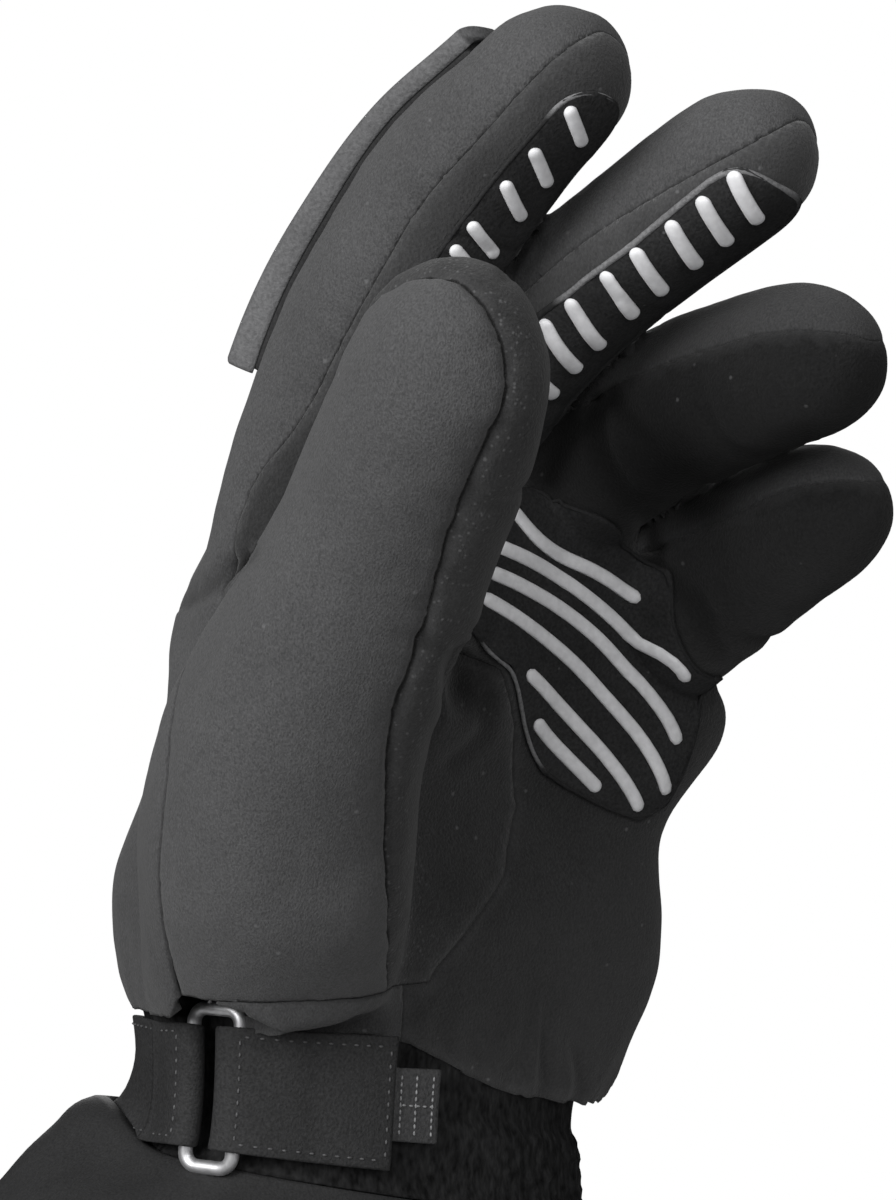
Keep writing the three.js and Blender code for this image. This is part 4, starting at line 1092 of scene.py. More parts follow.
def softshell_material():
    material, tree, shader, vector = new_material(
        "softshell", Roughness=0.9, Specular_IOR_Level=0.16, Sheen_Weight=0.1, Sheen_Roughness=0.6
    )
    grain = placed(tree, GRAIN, vector, Threads=2900.0, Long=0.7)
    mottle = placed(tree, MOTTLE, vector, Size=38.0)
    lint = placed(tree, LINT, vector, Size=230.0, Share=0.1, Radius=0.13)
    seam = placed(tree, SEAM, vector, Gap=stored(tree, "seam_gap"), Line=0.5)
    # The tone is scaled by the painted light and shade that each point keeps, and by painted fold shadows.
    cloth = product(
        tree, lighter(tree, grain["Shade"], 0.042, 0.086), lighter(tree, mottle["Shade"], 0.88, 1.1),
        stored(tree, "tone_with_painted_light"), seam_line_and_painted_shadow(tree, seam, 0.12),
    )
    speck = maths(tree, "MULTIPLY", lint["Mask"], 0.05)
    tree.links.new(grey(tree, maths(tree, "ADD", cloth, speck)), shader.inputs["Base Color"])
    bumped(tree, shader, grain["Height"], 0.0003, 0.8)
    return material


def suede_material():
    """Suede with a paler rubbed edge beside its seams."""
    material, tree, shader, vector = new_material(
        "suede", Roughness=0.95, Specular_IOR_Level=0.1, Sheen_Roughness=0.7
    )
    grain = placed(tree, GRAIN, vector, Threads=1900.0, Long=0.9)
    mottle = placed(tree, MOTTLE, vector, Size=55.0)
    few = placed(tree, LINT, vector, Size=330.0, Share=0.12, Radius=0.16)
    many = placed(tree, LINT, vector, Size=1000.0, Share=0.5, Radius=0.34)
    seam = placed(tree, SEAM, vector, Gap=stored(tree, "seam_gap"), Line=0.5, Edge=5.5)
    # The tone is scaled by the painted light and shade that each point keeps.
    tone_with_painted_light = product(
        tree, lighter(tree, grain["Shade"], 0.013, 0.027), lighter(tree, mottle["Shade"], 0.8, 1.2),
        stored(tree, "tone_with_painted_light"),
    )
    rubbed = maths(tree, "ADD", tone_with_painted_light, maths(tree, "MULTIPLY", seam["Edge"], 0.014))
    dusty = maths(tree, "MULTIPLY", many["Mask"], lighter(tree, stored(tree, "thumb_rim"), 0.0, 0.05))
    lint = maths(tree, "ADD", maths(tree, "MULTIPLY", few["Mask"], 0.06), dusty)
    specked = maths(tree, "ADD", rubbed, lint)
    specked = maths(tree, "MULTIPLY", specked, seam_line_and_painted_shadow(tree, seam, 0.1))
    # The sheen follows the painted light and shade too.
    tree.links.new(maths(tree, "MULTIPLY", stored(tree, "tone_with_painted_light"), 0.12), shader.inputs["Sheen Weight"])
    tree.links.new(grey(tree, specked), shader.inputs["Base Color"])
    bumped(tree, shader, grain["Height"], 0.0005, 0.7)
    return material


SOFTSHELL, SUEDE = softshell_material(), suede_material()
print("materials so far:", len(bpy.data.materials))

# %% [markdown]
# The patches of grip cloth lie on the palm side like skins. Each is a copy of the cloth under it, cut out
# on its outline in the same way as the seams and raised by its own thickness, so it follows every crease.

# %% Cut out the grip patches
PATCH = 0.9
PALM_REACH = 64  # the palm's patch ends below this place on X
PALM_PATCH = [
    (26.6, 127.4), (20.3, 137), (14.7, 147.3), (4, 154), (1, 166), (5, 177.5), (20, 178.5), (34, 171),
    (47, 162), (55.5, 150), (56.5, 135), (54.5, 120), (48.5, 117), (39.6, 120.5),
]
FINGER_PATCHES = {
    "index": {
        "start": 54, "end": 132.5, "around": 97, "half": 7.4, "corner": 6.5,
        "slant": 0.6, "stripe_around": 104, "long": 4.5, "stripe_half": 1.2,
        "stripes": [126.4, 117, 109.4, 99.3, 92.8, 84.5],
    },
    "middle": {
        "start": 52, "end": 130.4, "around": 111, "half": 9.7, "corner": 5.5,
        "slant": 0.37, "stripe_around": 124, "long": 6.0, "stripe_half": 1.4,
        "stripes": [126, 119, 111.8, 103.5, 96, 87.1, 80.5, 73, 65.5],
    },
}
EDGE_STEEP = 8  # makes shares of a size count like millimetres
ROUND_FINGER = 1.4  # a finger's patch holds no point further out than this share of its roundness


def cut_out(cloth, numbers):
    """A copy of the cloth where the numbers are above zero, raised a little and cut on the line."""
    part = cloth.copy()
    part.verts.index_update()
    remember(part, "patch", give_back_scraps(part, numbers))
    cut_where_zero(part, "patch")
    kept = side_of(part, "patch", True)
    part.free()
    kept.normal_update()
    for vert in kept.verts:
        vert.co += vert.normal * SEW * MM
    kept.normal_update()
    return kept


def on_finger(name, points, limits):
    """How far inside a finger's patch each point lies."""
    one = DIGITS[name]
    s, u, v = along_digit(one, points)
    turn = np.radians(turn_between(np.degrees(np.arctan2(v, u)), limits["around"]))
    beside_middle = np.abs(turn) * np.minimum(digit_size(one, "across", s), np.hypot(u, v))
    side, tip = beside_middle - limits["half"] + limits["corner"], s - limits["end"] + limits["corner"]
    corner = np.hypot(np.maximum(side, 0), np.maximum(tip, 0)) + np.minimum(np.maximum(side, tip), 0)
    near = EDGE_STEEP * (ROUND_FINGER - roundness(one, s, u, v))
    return np.minimum.reduce([limits["corner"] - corner, s - limits["start"], near])


palm_cloth = CLOTHS["palm_of_hand"]
palm_points = points_of(palm_cloth)
facing_palm = np.array([vert.normal.x for vert in palm_cloth.verts]) * EDGE_STEEP
outline = inside_outline(PALM_PATCH, palm_points[:, 1], palm_points[:, 2])
low_enough = PALM_REACH - palm_points[:, 0]
patches = {"palm_patch": cut_out(palm_cloth, np.minimum.reduce([outline, facing_palm, low_enough]))}
for name, limits in FINGER_PATCHES.items():
    patches[name + "_patch"] = cut_out(palm_cloth, on_finger(name, palm_points, limits))
for name, patch in patches.items():
    print(name, len(patch.faces), "faces")

# %% [markdown]
# The stripes are printed silicone: low beads with round ends. Each is a tube with a flat oval section that
# runs over its patch. Rays shot at the patch find the surface under the middle of the stripe.

# %% Stripes of silicone
STRIPE = {"half": 1.3, "high": 0.8, "low": 0.35, "sides": 14, "rings": 26, "tip": 0.02, "closer": 0.65}
RAY_START = {"palm": 4, "finger": 30}  # how far off the rays for the stripes start
PALM_STRIPES = table(
    "y0 z0 y1 z1 bow wave",
    (12.3, 176, 41, 158.4, -1.5, -1),
    (8.4, 169, 48.9, 143.4, 3.4, 0),
    (7.4, 164.4, 52.4, 131.4, 5, 0),
    (6, 160, 52.8, 121.8, 4.6, 0),
    (18.4, 146, 47.8, 118.9, 1.6, 0),
    (22.8, 136.8, 38.5, 123.2, 0, 0),
)


def surface_of(patch):
    """The upper face of a patch, as a tree that rays can be shot at."""
    upper = patch.copy()
    for vert in upper.verts:
        vert.co += vert.normal * PATCH * MM
    upper.normal_update()
    tree = BVHTree.FromBMesh(upper)
    upper.free()
    return tree


def hit(surface, start, towards):
    """The first point of the surface along a ray, in millimetres, and its direction outwards."""
    place, normal, _, _ = surface.ray_cast(Vector(start) * MM, Vector(towards))
    if place is None:
        place, normal, _, _ = surface.find_nearest(Vector(start) * MM)
    return np.array(place) / MM, np.array(normal)


def bead(centres, normals, half):
    """A tube with a flat oval section and round ends along a row of points on a surface."""
    centres, normals = np.array(centres), np.array(normals)
    across = unit_rows(np.cross(normals, unit_rows(np.gradient(centres, axis=0))))
    run = run_along(centres)
    turns = 2 * math.pi * np.arange(STRIPE["sides"]) / STRIPE["sides"]
    rings = []
    for i, centre in enumerate(centres):
        edge = min(run[i], run[-1] - run[i])
        size = math.sqrt(max(STRIPE["tip"], 1 - max(0.0, 1 - edge / half) ** 2))
        rise = np.where(np.sin(turns) > 0, STRIPE["high"] * size, STRIPE["low"]) * np.sin(turns)
        side = half * size * np.cos(turns)
        rings.append(centre + np.outer(side, across[i]) + np.outer(rise, normals[i]))
    return tube_mesh(rings)


def end_spaced(count):
    """Places from 0 to 1, closer together near both ends."""
    wave = np.cos(math.pi * np.linspace(0, 1, count))
    return 0.5 - 0.5 * wave * (1 - STRIPE["closer"] + STRIPE["closer"] * np.abs(wave))


def palm_stripe_path(row):
    start, end = np.array([row["y0"], row["z0"]]), np.array([row["y1"], row["z1"]])
    lean = np.array([-(end - start)[1], (end - start)[0]]) / np.linalg.norm(end - start)
    for t in end_spaced(STRIPE["rings"]):
        beside_line = 4 * row["bow"] * t * (1 - t) + row["wave"] * math.sin(2 * math.pi * t)
        y, z = start + (end - start) * t + lean * beside_line
        yield (PALM_REACH + RAY_START["palm"], y, z), (-1, 0, 0)


def finger_stripe_path(name, limits, place):
    one = DIGITS[name]
    for t in end_spaced(STRIPE["rings"]):
        off = limits["long"] * (2 * t - 1)
        s = place - limits["slant"] * off
        turn = math.radians(limits["stripe_around"]) - off / float(digit_size(one, "across", s))
        start = beside(one, s, RAY_START["finger"] * math.cos(turn), RAY_START["finger"] * math.sin(turn))
        yield start, beside(one, s, 0, 0) - start


def stripe(path, surface, half):
    """One stripe, from the rays that lead to its middle line."""
    found = [hit(surface, start, towards) for start, towards in path]
    return bead([place for place, _ in found], [normal for _, normal in found], half)


surfaces = {name: surface_of(patch) for name, patch in patches.items()}
stripes = {}
for number, row in enumerate(PALM_STRIPES):
    made = stripe(palm_stripe_path(row), surfaces["palm_patch"], STRIPE["half"])
    stripes[f"palm_stripe_{number + 1}"] = made
for name, limits in FINGER_PATCHES.items():
    for number, place in enumerate(limits["stripes"]):
        path = finger_stripe_path(name, limits, place)
        made = stripe(path, surfaces[name + "_patch"], limits["stripe_half"])
        stripes[f"{name}_stripe_{number + 1}"] = made
print("stripes:", len(stripes))

# %% [markdown]
# The other materials share the same groups. The grip cloth is a close, matt knit, the silicone is smooth
# with a soft shine, the elastic is a rough dark knit, the webbing and the shell cloth are finer, and the
# buckle is satin steel with marks of wear.

# %% Materials of the trim


def grip_material():
    material, tree, shader, vector = new_material("grip_cloth", Roughness=0.85, Specular_IOR_Level=0.14)
    grain = placed(tree, GRAIN, vector, Threads=1700.0, Long=1.0)
    mottle = placed(tree, MOTTLE, vector, Size=60.0)
    lint = placed(tree, LINT, vector, Size=340.0, Share=0.12, Radius=0.13)
    cloth = product(
        tree, lighter(tree, grain["Shade"], 0.018, 0.038), lighter(tree, mottle["Shade"], 0.8, 1.15)
    )
    specked = maths(tree, "ADD", cloth, maths(tree, "MULTIPLY", lint["Mask"], 0.06))
    tree.links.new(grey(tree, specked), shader.inputs["Base Color"])
    bumped(tree, shader, grain["Height"], 0.0003, 0.6)
    return material


def binding_material():
    """Binding that is pale along given lines and dark elsewhere, as each of its points tells."""
    material, tree, shader, vector = new_material("patch_binding", Roughness=0.9, Specular_IOR_Level=0.2)
    grain = placed(tree, GRAIN, vector, Threads=1900.0, Long=1.0)
    shade = product(
        tree, lighter(tree, stored(tree, "pale"), 0.022, 0.17), lighter(tree, grain["Shade"], 0.7, 1.3)
    )
    tree.links.new(grey(tree, shade), shader.inputs["Base Color"])
    bumped(tree, shader, grain["Height"], 0.0003, 0.6)
    return material


def plain_material(name, dark, light, threads, depth, long=1.0, **shader_values):
    """A finish whose shade wanders between two values over a fine grain."""
    material, tree, shader, vector = new_material(name, **shader_values)
    grain = placed(tree, GRAIN, vector, Threads=threads, Long=long)
    mottle = placed(tree, MOTTLE, vector, Size=70.0)
    shade = product(
        tree, lighter(tree, grain["Shade"], dark, light), lighter(tree, mottle["Shade"], 0.9, 1.1)
    )
    tree.links.new(grey(tree, shade), shader.inputs["Base Color"])
    bumped(tree, shader, grain["Height"], depth, 0.6)
    return material


def steel_material():
    material, tree, shader, vector = new_material("buckle_steel", Metallic=0.9, Roughness=0.5)
    marks = placed(tree, GRAIN, vector, Threads=900.0, Long=0.2)
    wear = placed(tree, MOTTLE, vector, Size=160.0)
    tree.links.new(grey(tree, lighter(tree, wear["Shade"], 0.62, 0.8)), shader.inputs["Base Color"])
    tree.links.new(lighter(tree, marks["Shade"], 0.42, 0.58), shader.inputs["Roughness"])
    bumped(tree, shader, marks["Height"], 0.00008, 0.5)
    return material


MATT = {"Roughness": 0.8, "Specular_IOR_Level": 0.2}
YARN = {"Roughness": 0.7, "Specular_IOR_Level": 0.3}
GRIP, BINDING = grip_material(), binding_material()
SILICONE = plain_material("silicone", 0.74, 0.88, 700.0, 0.00008, Roughness=0.42, Specular_IOR_Level=0.4)
ELASTIC = plain_material(
    "elastic", 0.004, 0.026, 800.0, 0.0008, long=0.5, Roughness=0.92, Specular_IOR_Level=0.12
)
TAB_CLOTH = plain_material("tab_cloth", 0.04, 0.08, 1900.0, 0.0004, **MATT)
WEBBING = plain_material("webbing", 0.018, 0.038, 1900.0, 0.0004, **MATT)
SHELL_CLOTH = plain_material("shell_cloth", 0.016, 0.03, 2400.0, 0.0002, **MATT)
STRIP = plain_material("wiper_strip", 0.086, 0.142, 1500.0, 0.0004, Roughness=0.85, Specular_IOR_Level=0.2)
THREAD = plain_material("thread", 0.06, 0.13, 2600.0, 0.0001, **YARN)
TACK_THREAD = plain_material("tack_thread", 0.2, 0.36, 2600.0, 0.0001, **YARN)
STEEL = steel_material()
print("materials:", len(bpy.data.materials))

# %% [markdown]
# The cloths get their thickness from a Solidify modifier that grows inwards, so the outside stays where
# the seams were cut. Each one takes the place of the plain panels that it covers.

# %% Finish the padded cloths
WALL = 3.0


def add_wall(piece, thick, outwards=False):
    wall = piece.modifiers.new("wall", "SOLIDIFY")
    wall.thickness = thick * MM
    wall.offset = 1.0 if outwards else -1.0
    wall.use_even_offset = False
    return piece


COVERS = {
    "back_of_hand": ["hand_back"] + [name + "_back" for name in FINGERS],
    "palm_of_hand": ["hand_palm"] + [name + "_palm" for name in FINGERS],
    "back_of_thumb": ["thumb_back"],
    "front_of_thumb": ["thumb_palm"],
}
for name, cloth in CLOTHS.items():
    is_back = name.startswith("back")
    piece = new_piece(name, cloth, SOFTSHELL if is_back else SUEDE)
    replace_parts(add_wall(piece, WALL), *COVERS[name])
    print(name, "in place of", COVERS[name])

# %% [markdown]
# A patch is a thin layer on its cloth, bound with a narrow edge that is pale in places. The binding
# is a tube that runs along the patch's own rim, evened out so that it has no steps. Where it is pale is
# given as lines in the photograph's pixels, and each of its points keeps how near to them it lies.

# %% Patches, bindings and stripes
BINDING_SIZE = {"palm_patch": 0.4, "index_patch": 0.45, "middle_patch": 0.6}
PALE_EDGES = {
    "palm_patch": [(500, 645), (535, 750)],
    "index_patch": [(564, 106), (573, 94), (596, 90)],
    "middle_patch": [(570, 290), (600, 265), (665, 230), (690, 210), (732, 172), (752, 172), (782, 195)],
}
PALE_REACH = 24  # the pale part fades out this many pixels of the photograph from its line
PALE_FULL = 1.6
CORD = {"sides": 8, "lift": 0.55, "step": 1.2, "rounds": 14}


def rim_of(bm):
    """The points of the longest open edge of a mesh, in order from its lowest one and in millimetres."""
    left = {edge for edge in bm.edges if edge.is_boundary}
    rims = []
    while left:
        edge = left.pop()
        first, last = edge.verts
        row = [first, last]
        while row[-1] != row[0]:
            onward = next((item for item in row[-1].link_edges if item in left), None)
            if onward is None:
                break
            left.remove(onward)
            row.append(onward.other_vert(row[-1]))
        rims.append([np.array(vert.co) / MM for vert in row[:-1]])
    rim = np.array(max(rims, key=len))
    rim = np.roll(rim, -rim[:, 2].argmin(), 0)
    return rim if rim[1, 1] > rim[-1, 1] else np.roll(rim[::-1], 1, 0)


def evened(points, step, rounds):
    """A closed row of points, smoothed and then spaced evenly."""
    for _ in range(rounds):
        points = (points + 0.5 * np.roll(points, 1, 0) + 0.5 * np.roll(points, -1, 0)) / 2
    closed = np.vstack([points, points[:1]])
    run = run_along(closed)
    count = int(run[-1] / step)
    at = np.linspace(0, run[-1], count, endpoint=False)
    return np.stack([np.interp(at, run, closed[:, axis]) for axis in range(3)], 1)


def closed_cord(points, outward, radius):
    """A round cord through a closed row of points."""
    along = unit_rows(np.roll(points, -1, 0) - np.roll(points, 1, 0))
    across = unit_rows(np.cross(outward, along))
    up = np.cross(along, across)
    turns = 2 * math.pi * np.arange(CORD["sides"]) / CORD["sides"]
    rings = [
        point + radius * (np.outer(np.cos(turns), side) + np.outer(np.sin(turns), lift))
        for point, side, lift in zip(points, across, up)
    ]
    return tube_mesh(rings, closed=True)


for name, patch in patches.items():
    line = evened(rim_of(patch), CORD["step"], CORD["rounds"])
    outward = []
    for i, point in enumerate(line):
        normal = surfaces[name].find_nearest(Vector(point) * MM)[1]
        outward.append(np.array(normal))
        line[i] = point + np.array(normal) * CORD["lift"]
    cord = closed_cord(line, np.array(outward), BINDING_SIZE[name])
    x, y, _ = in_photo(points_of(cord))
    far = line_distance(x, y, PALE_EDGES[name]) / PALE_REACH
    remember(cord, "pale", smooth(PALE_FULL * (1 - far)))
    new_piece(name + "_binding", cord, BINDING)
    piece = new_piece(name + "_cloth", patch, GRIP)
    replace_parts(add_wall(piece, PATCH - 0.1, outwards=True), name)
for name, bm in stripes.items():
    piece = new_piece(name + "_bead", bm, SILICONE)
    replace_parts(piece, name)
print("patches and stripes done")

# %% [markdown]
# The elastic band is shirred: elastic threads draw it in, and the cloth between them stands up in small
# uneven pleats. The pleats wander with a noise, and lie flat where the strap presses on them and where the
# hem of the palm hangs over them.

# %% Wrist band
BAND = {"sides": 420, "levels": 34, "wall": 2.0, "round": 45, "pitch": 3.4, "deep": 0.8, "thread": 3.2,
        "lump": 0.9, "calm": 62.5, "calm_over": 4, "drawn": 1.4}
PLEAT = {"bend": 6.0, "bend_size": 6.0, "fine": 2.6, "fine_size": 2.6, "usual": 0.65, "uneven": 0.9,
         "uneven_size": 5.0, "thread_bend": 4, "thread_size": 9.0, "lump_size": 14.0}
BAND_TUCK = [(0.8, 1.2), (3.0, 4.2)]  # how far up and inwards the band goes on under the hand's cloth
UNDER_STRAP = {"middle": 162, "half": 74, "fade": 16, "left": 0.15}


def wander(x, y, z, size):
    return noise.noise(Vector((x, y, z)) / size)


def band_relief(z, angles, around):
    """Height of the gathers at one level, for every direction."""
    heights = []
    for angle, run in zip(angles, around):
        x, y = BAND["round"] * math.cos(math.radians(angle)), BAND["round"] * math.sin(math.radians(angle))
        phase = 2 * math.pi * run / BAND["pitch"]
        bend = PLEAT["bend"] * wander(x, y, z, PLEAT["bend_size"])
        phase += bend + PLEAT["fine"] * wander(x, y, z + 50, PLEAT["fine_size"])
        uneven = PLEAT["uneven"] * wander(x, y, z + 90, PLEAT["uneven_size"])
        pleat = math.sin(phase) * (PLEAT["usual"] + uneven)
        thread_bend = PLEAT["thread_bend"] * wander(x, y, z, PLEAT["thread_size"])
        drawn_in = 0.5 + 0.5 * math.cos(2 * math.pi * z / BAND["thread"] + thread_bend)
        flat = abs(turn_between(angle, UNDER_STRAP["middle"])) - UNDER_STRAP["half"]
        free = UNDER_STRAP["left"] + (1 - UNDER_STRAP["left"]) * float(smooth(flat / UNDER_STRAP["fade"]))
        on_palm = float(smooth(2 - abs(turn_between(angle, HANG["around"])) / HANG["fade"]))
        under_hem = on_palm * float(smooth((z - BAND["calm"]) / BAND["calm_over"]))
        lump = BAND["lump"] * wander(x, y, z, PLEAT["lump_size"])
        relief = free * (BAND["deep"] * pleat * drawn_in + lump)
        heights.append(relief * (1 - under_hem) - BAND["drawn"] * under_hem)
    return np.array(heights)


angles = 360 * np.arange(BAND["sides"]) / BAND["sides"]
around = run_along(hand_point(62.0, angles))
levels = np.linspace(CUFF_SEAM + SEW / 2, HAND_SEAM - SEW / 2, BAND["levels"])
rings = [hand_point(z, angles, band_relief(z, angles, around)) for z in levels]
for up, inwards in BAND_TUCK:
    rings.append(hand_point(HAND_SEAM + up, angles, -inwards))
piece = new_piece("elastic_band", tube_mesh(rings, capped=False), ELASTIC)
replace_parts(add_wall(piece, BAND["wall"]), "wrist_band")
print("band:", len(piece.data.polygons), "faces")

# %% [markdown]
# The gauntlet is a loose sleeve of shell cloth. Behind the strap its top puffs up over the seam, and
# further down it falls in soft folds to its hem.

# %% Gauntlet
CUFF = {"sides": 220, "wall": 2.0, "step": 1.6, "puff_from": 38, "puff_rings": 26}
PUFF = {"middle": 245, "spread": 75, "fade": 45}
DRAPE = {"deep": 2.0, "size": 15.0, "fine": 0.5, "fine_size": 6.0, "round": 50, "long": 0.45, "fade": 8}
CUFF_ROWS = table(
    "z out up",
    (0, 0, 0), (12, 0, 0), (24, 0, 0), (34, -1, 0.5), (40.5, -1.6, 1.6), (43, -0.4, 3), (44.5, 0.6, 4.6),
    (46, 1.2, 5.8), (47.2, 0.9, 7), (48.2, -0.5, 7.8), (48.9, -3.4, 7.9), (CUFF_SEAM - SEW / 2, 0, 0),
)


def cuff_ring(z, angles):
    """One ring of the gauntlet. z is its height where the cloth hangs plainly."""
    side = np.abs(turn_between(angles, PUFF["middle"]))
    puff = smooth((PUFF["spread"] - side) / PUFF["fade"])
    free = float(smooth((CUFF_SEAM - z) / DRAPE["fade"]))
    turns = np.radians(angles)
    drape = [
        DRAPE["deep"] * wander(x, y, z * DRAPE["long"], DRAPE["size"])
        + DRAPE["fine"] * wander(x, y, z, DRAPE["fine_size"])
        for x, y in zip(DRAPE["round"] * np.cos(turns), DRAPE["round"] * np.sin(turns))
    ]
    ring = hand_point(z, angles, np.array(drape) * free + value(CUFF_ROWS, "out", "z", z) * puff)
    ring[:, 2] += value(CUFF_ROWS, "up", "z", z) * puff
    return ring


angles = 360 * np.arange(CUFF["sides"]) / CUFF["sides"]
plain_rows = np.arange(0, CUFF["puff_from"], CUFF["step"])
puffed_rows = np.linspace(CUFF["puff_from"], CUFF_SEAM - SEW / 2, CUFF["puff_rings"])
rows = np.concatenate([plain_rows, puffed_rows])
sleeve = tube_mesh([cuff_ring(z, angles) for z in rows], capped=False)
piece = new_piece("gauntlet_sleeve", sleeve, SHELL_CLOTH)
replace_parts(add_wall(piece, CUFF["wall"]), "gauntlet")
print("gauntlet:", len(piece.data.polygons), "faces")

# %% [markdown]
# The strap is webbing in two ends. Each is doubled round a side of the buckle: a lower layer lies on the
# band, bends round the wire and comes back over itself. Its path is a row of places along the strap and
# heights above the band, rounded by smoothing, and a flat section is carried along it.

# %% Strap round the wrist
STRAP = {
    "start": 162, "height": 62.8, "half": 10.8, "thick": 1.2, "lean": 0.066, "rise": 0.095, "level": -12,
}
TAIL_WIDER = 0.0032  # the tail widens by this share for each millimetre
RING = {"half": 4.3, "tall": 14.2, "corner": 2.6, "wire": 1.3, "lift": 4.4, "room": 0.05, "sides": 18}
STRAP_ENDS = {
    "strap_base": {"side": -1, "under": 62, "over": 15, "slack": 0.0},
    "strap_tail": {"side": 1, "under": 20, "over": 31, "slack": 1.4},
}
STRAP_LOW = 0.9  # height of the lower layer above the band
FLARE = {"start": 18, "over": 18, "all": 0.2, "low": 4.6, "from": 6, "tall": 18}  # the base stands off here
LANDING = 17  # where the upper layer reaches the lower one, from the buckle
LEAD = 5
STRAP_STEP = 0.6
ROUND_WIRE = range(165, -11, -12)  # degrees in which the strap turns round the wire
turned = np.arange(STRAP["start"] + 180, STRAP["start"] - 181, -2)
runs = run_along(hand_point(STRAP["height"], turned))
ROUND = [{"run": run, "angle": angle} for run, angle in zip(runs, turned)]
BUCKLE_RUN = next(row["run"] for row in ROUND if row["angle"] == STRAP["start"])


def strap_point(t, h, w):
    """A point of the strap: t along it from the buckle, h above the band, w across it."""
    t, h, w = np.broadcast_arrays(np.asarray(t, float), h, w)
    back = smooth((-t - FLARE["start"]) / FLARE["over"])
    h = h + back * (FLARE["all"] + FLARE["low"] * smooth((FLARE["from"] - w) / FLARE["tall"]))
    w = w * (1 + TAIL_WIDER * np.maximum(t, 0))
    angle = value(ROUND, "angle", "run", BUCKLE_RUN + t + STRAP["lean"] * w)
    return hand_point(STRAP["height"] + w + STRAP["rise"] * np.maximum(t, STRAP["level"]), angle, h)


def strap_path(end):
    """Places and heights along the middle of one doubled end."""
    radius = RING["wire"] + RING["room"] + STRAP["thick"] / 2
    low = STRAP_LOW + STRAP["thick"] / 2
    path = [(t, low) for t in np.linspace(end["under"], RING["half"] + LEAD, 40)]
    for turn in ROUND_WIRE:
        out = (radius + end["slack"]) * math.sin(math.radians(turn))
        path.append((RING["half"] - out, RING["lift"] + radius * math.cos(math.radians(turn))))
    rest = low + STRAP["thick"] + SEW
    path += [(t, rest) for t in np.linspace(min(end["over"] - 2, LANDING), end["over"], 14)]
    path = np.array(path)
    run = run_along(path)
    at = np.arange(0, run[-1], STRAP_STEP)
    path = np.stack([np.interp(at, run, path[:, axis]) for axis in (0, 1)], 1)
    for _ in range(4):
        path[1:-1] = (path[:-2] + 2 * path[1:-1] + path[2:]) / 4
    return path


def flat_section(half, thick, edge=0.5, steps=5, across=12):
    """Offsets (w, n) round a flat section with rounded edges."""
    round_edge = [math.radians(-90 + 180 * i / steps) for i in range(steps + 1)]
    right = [(half - edge + edge * math.cos(a), thick / 2 * math.sin(a)) for a in round_edge]
    left = [(-w, -n) for w, n in right]
    top = [(w, thick / 2) for w in np.linspace(half - edge, edge - half, across)[1:-1]]
    bottom = [(w, -thick / 2) for w in np.linspace(edge - half, half - edge, across)[1:-1]]
    return np.array(right + top + left + bottom)


def ribbon(path, section, side):
    """A flat strap along a path of places and heights."""
    w, n = section[:, 0], section[:, 1]
    return tube_mesh([
        strap_point(side * (t + dh * n), h - dt * n, w)
        for (t, h), (dt, dh) in zip(path, unit_rows(np.gradient(path, axis=0)))
    ])


for name, end in STRAP_ENDS.items():
    bm = ribbon(strap_path(end), flat_section(STRAP["half"], STRAP["thick"]), end["side"])
    piece = new_piece(name + "_webbing", bm, WEBBING)
    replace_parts(piece, name)
    print(piece.name, len(piece.data.polygons), "faces")

# %% [markdown]
# The seams of the strap are rows of short stitches near its edges. Each stitch is a small stretched ball
# of thread, laid along the row, and the tab at the end is held by two plain bar tacks.

# %% Stitches and the tab
STITCH = {"long": 1.0, "pitch": 2.1, "radius": 0.22, "inset": 1.6, "above": 0.08, "first": 5.5,
          "last": 1.4, "cross": 1.5}
BASE_ROW = -58  # the base's rows of stitches end here
TAB = {"start": 30.6, "end": 40, "half": 6, "low": 1.4, "thick": 0.9, "tacks": (32.2, 35.2, 38.6),
       "rings": 16, "stitches_end": 39.2}


def add_stitch(bm, middle, along):
    """One stitch: a ball of thread drawn out along its row."""
    turn = Vector(along).normalized().to_track_quat("Z", "Y").to_matrix().to_4x4()
    ball = bmesh.ops.create_icosphere(bm, subdivisions=1, radius=STITCH["radius"] * MM)["verts"]
    bmesh.ops.scale(bm, vec=(1, 1, STITCH["long"] / (2 * STITCH["radius"])), verts=ball)
    bmesh.ops.transform(bm, matrix=turn, verts=ball)
    bmesh.ops.translate(bm, vec=Vector(middle) * MM, verts=ball)


def stitch_row(bm, start, end, count=None):
    """Stitches between two places (t, h, w) of the strap."""
    start, end = np.array(start, float), np.array(end, float)
    count = count or max(1, round(float(np.linalg.norm(end - start)) / STITCH["pitch"]))
    for i in range(count):
        t = (i + 0.5) / count
        step = (end - start) / np.linalg.norm(end - start) * 0.5
        place = start + (end - start) * t
        middle = strap_point(*place)
        along = strap_point(*(place + step)) - strap_point(*(place - step))
        add_stitch(bm, middle, along)


def upper_face(end):
    """Places and heights of the upper side of one doubled end, from the buckle's wire outwards."""
    path = strap_path(end)
    path = path[path[:, 0].argmin() + 2:]
    return path[:, 0], path[:, 1] + STRAP["thick"] / 2 + STITCH["above"]


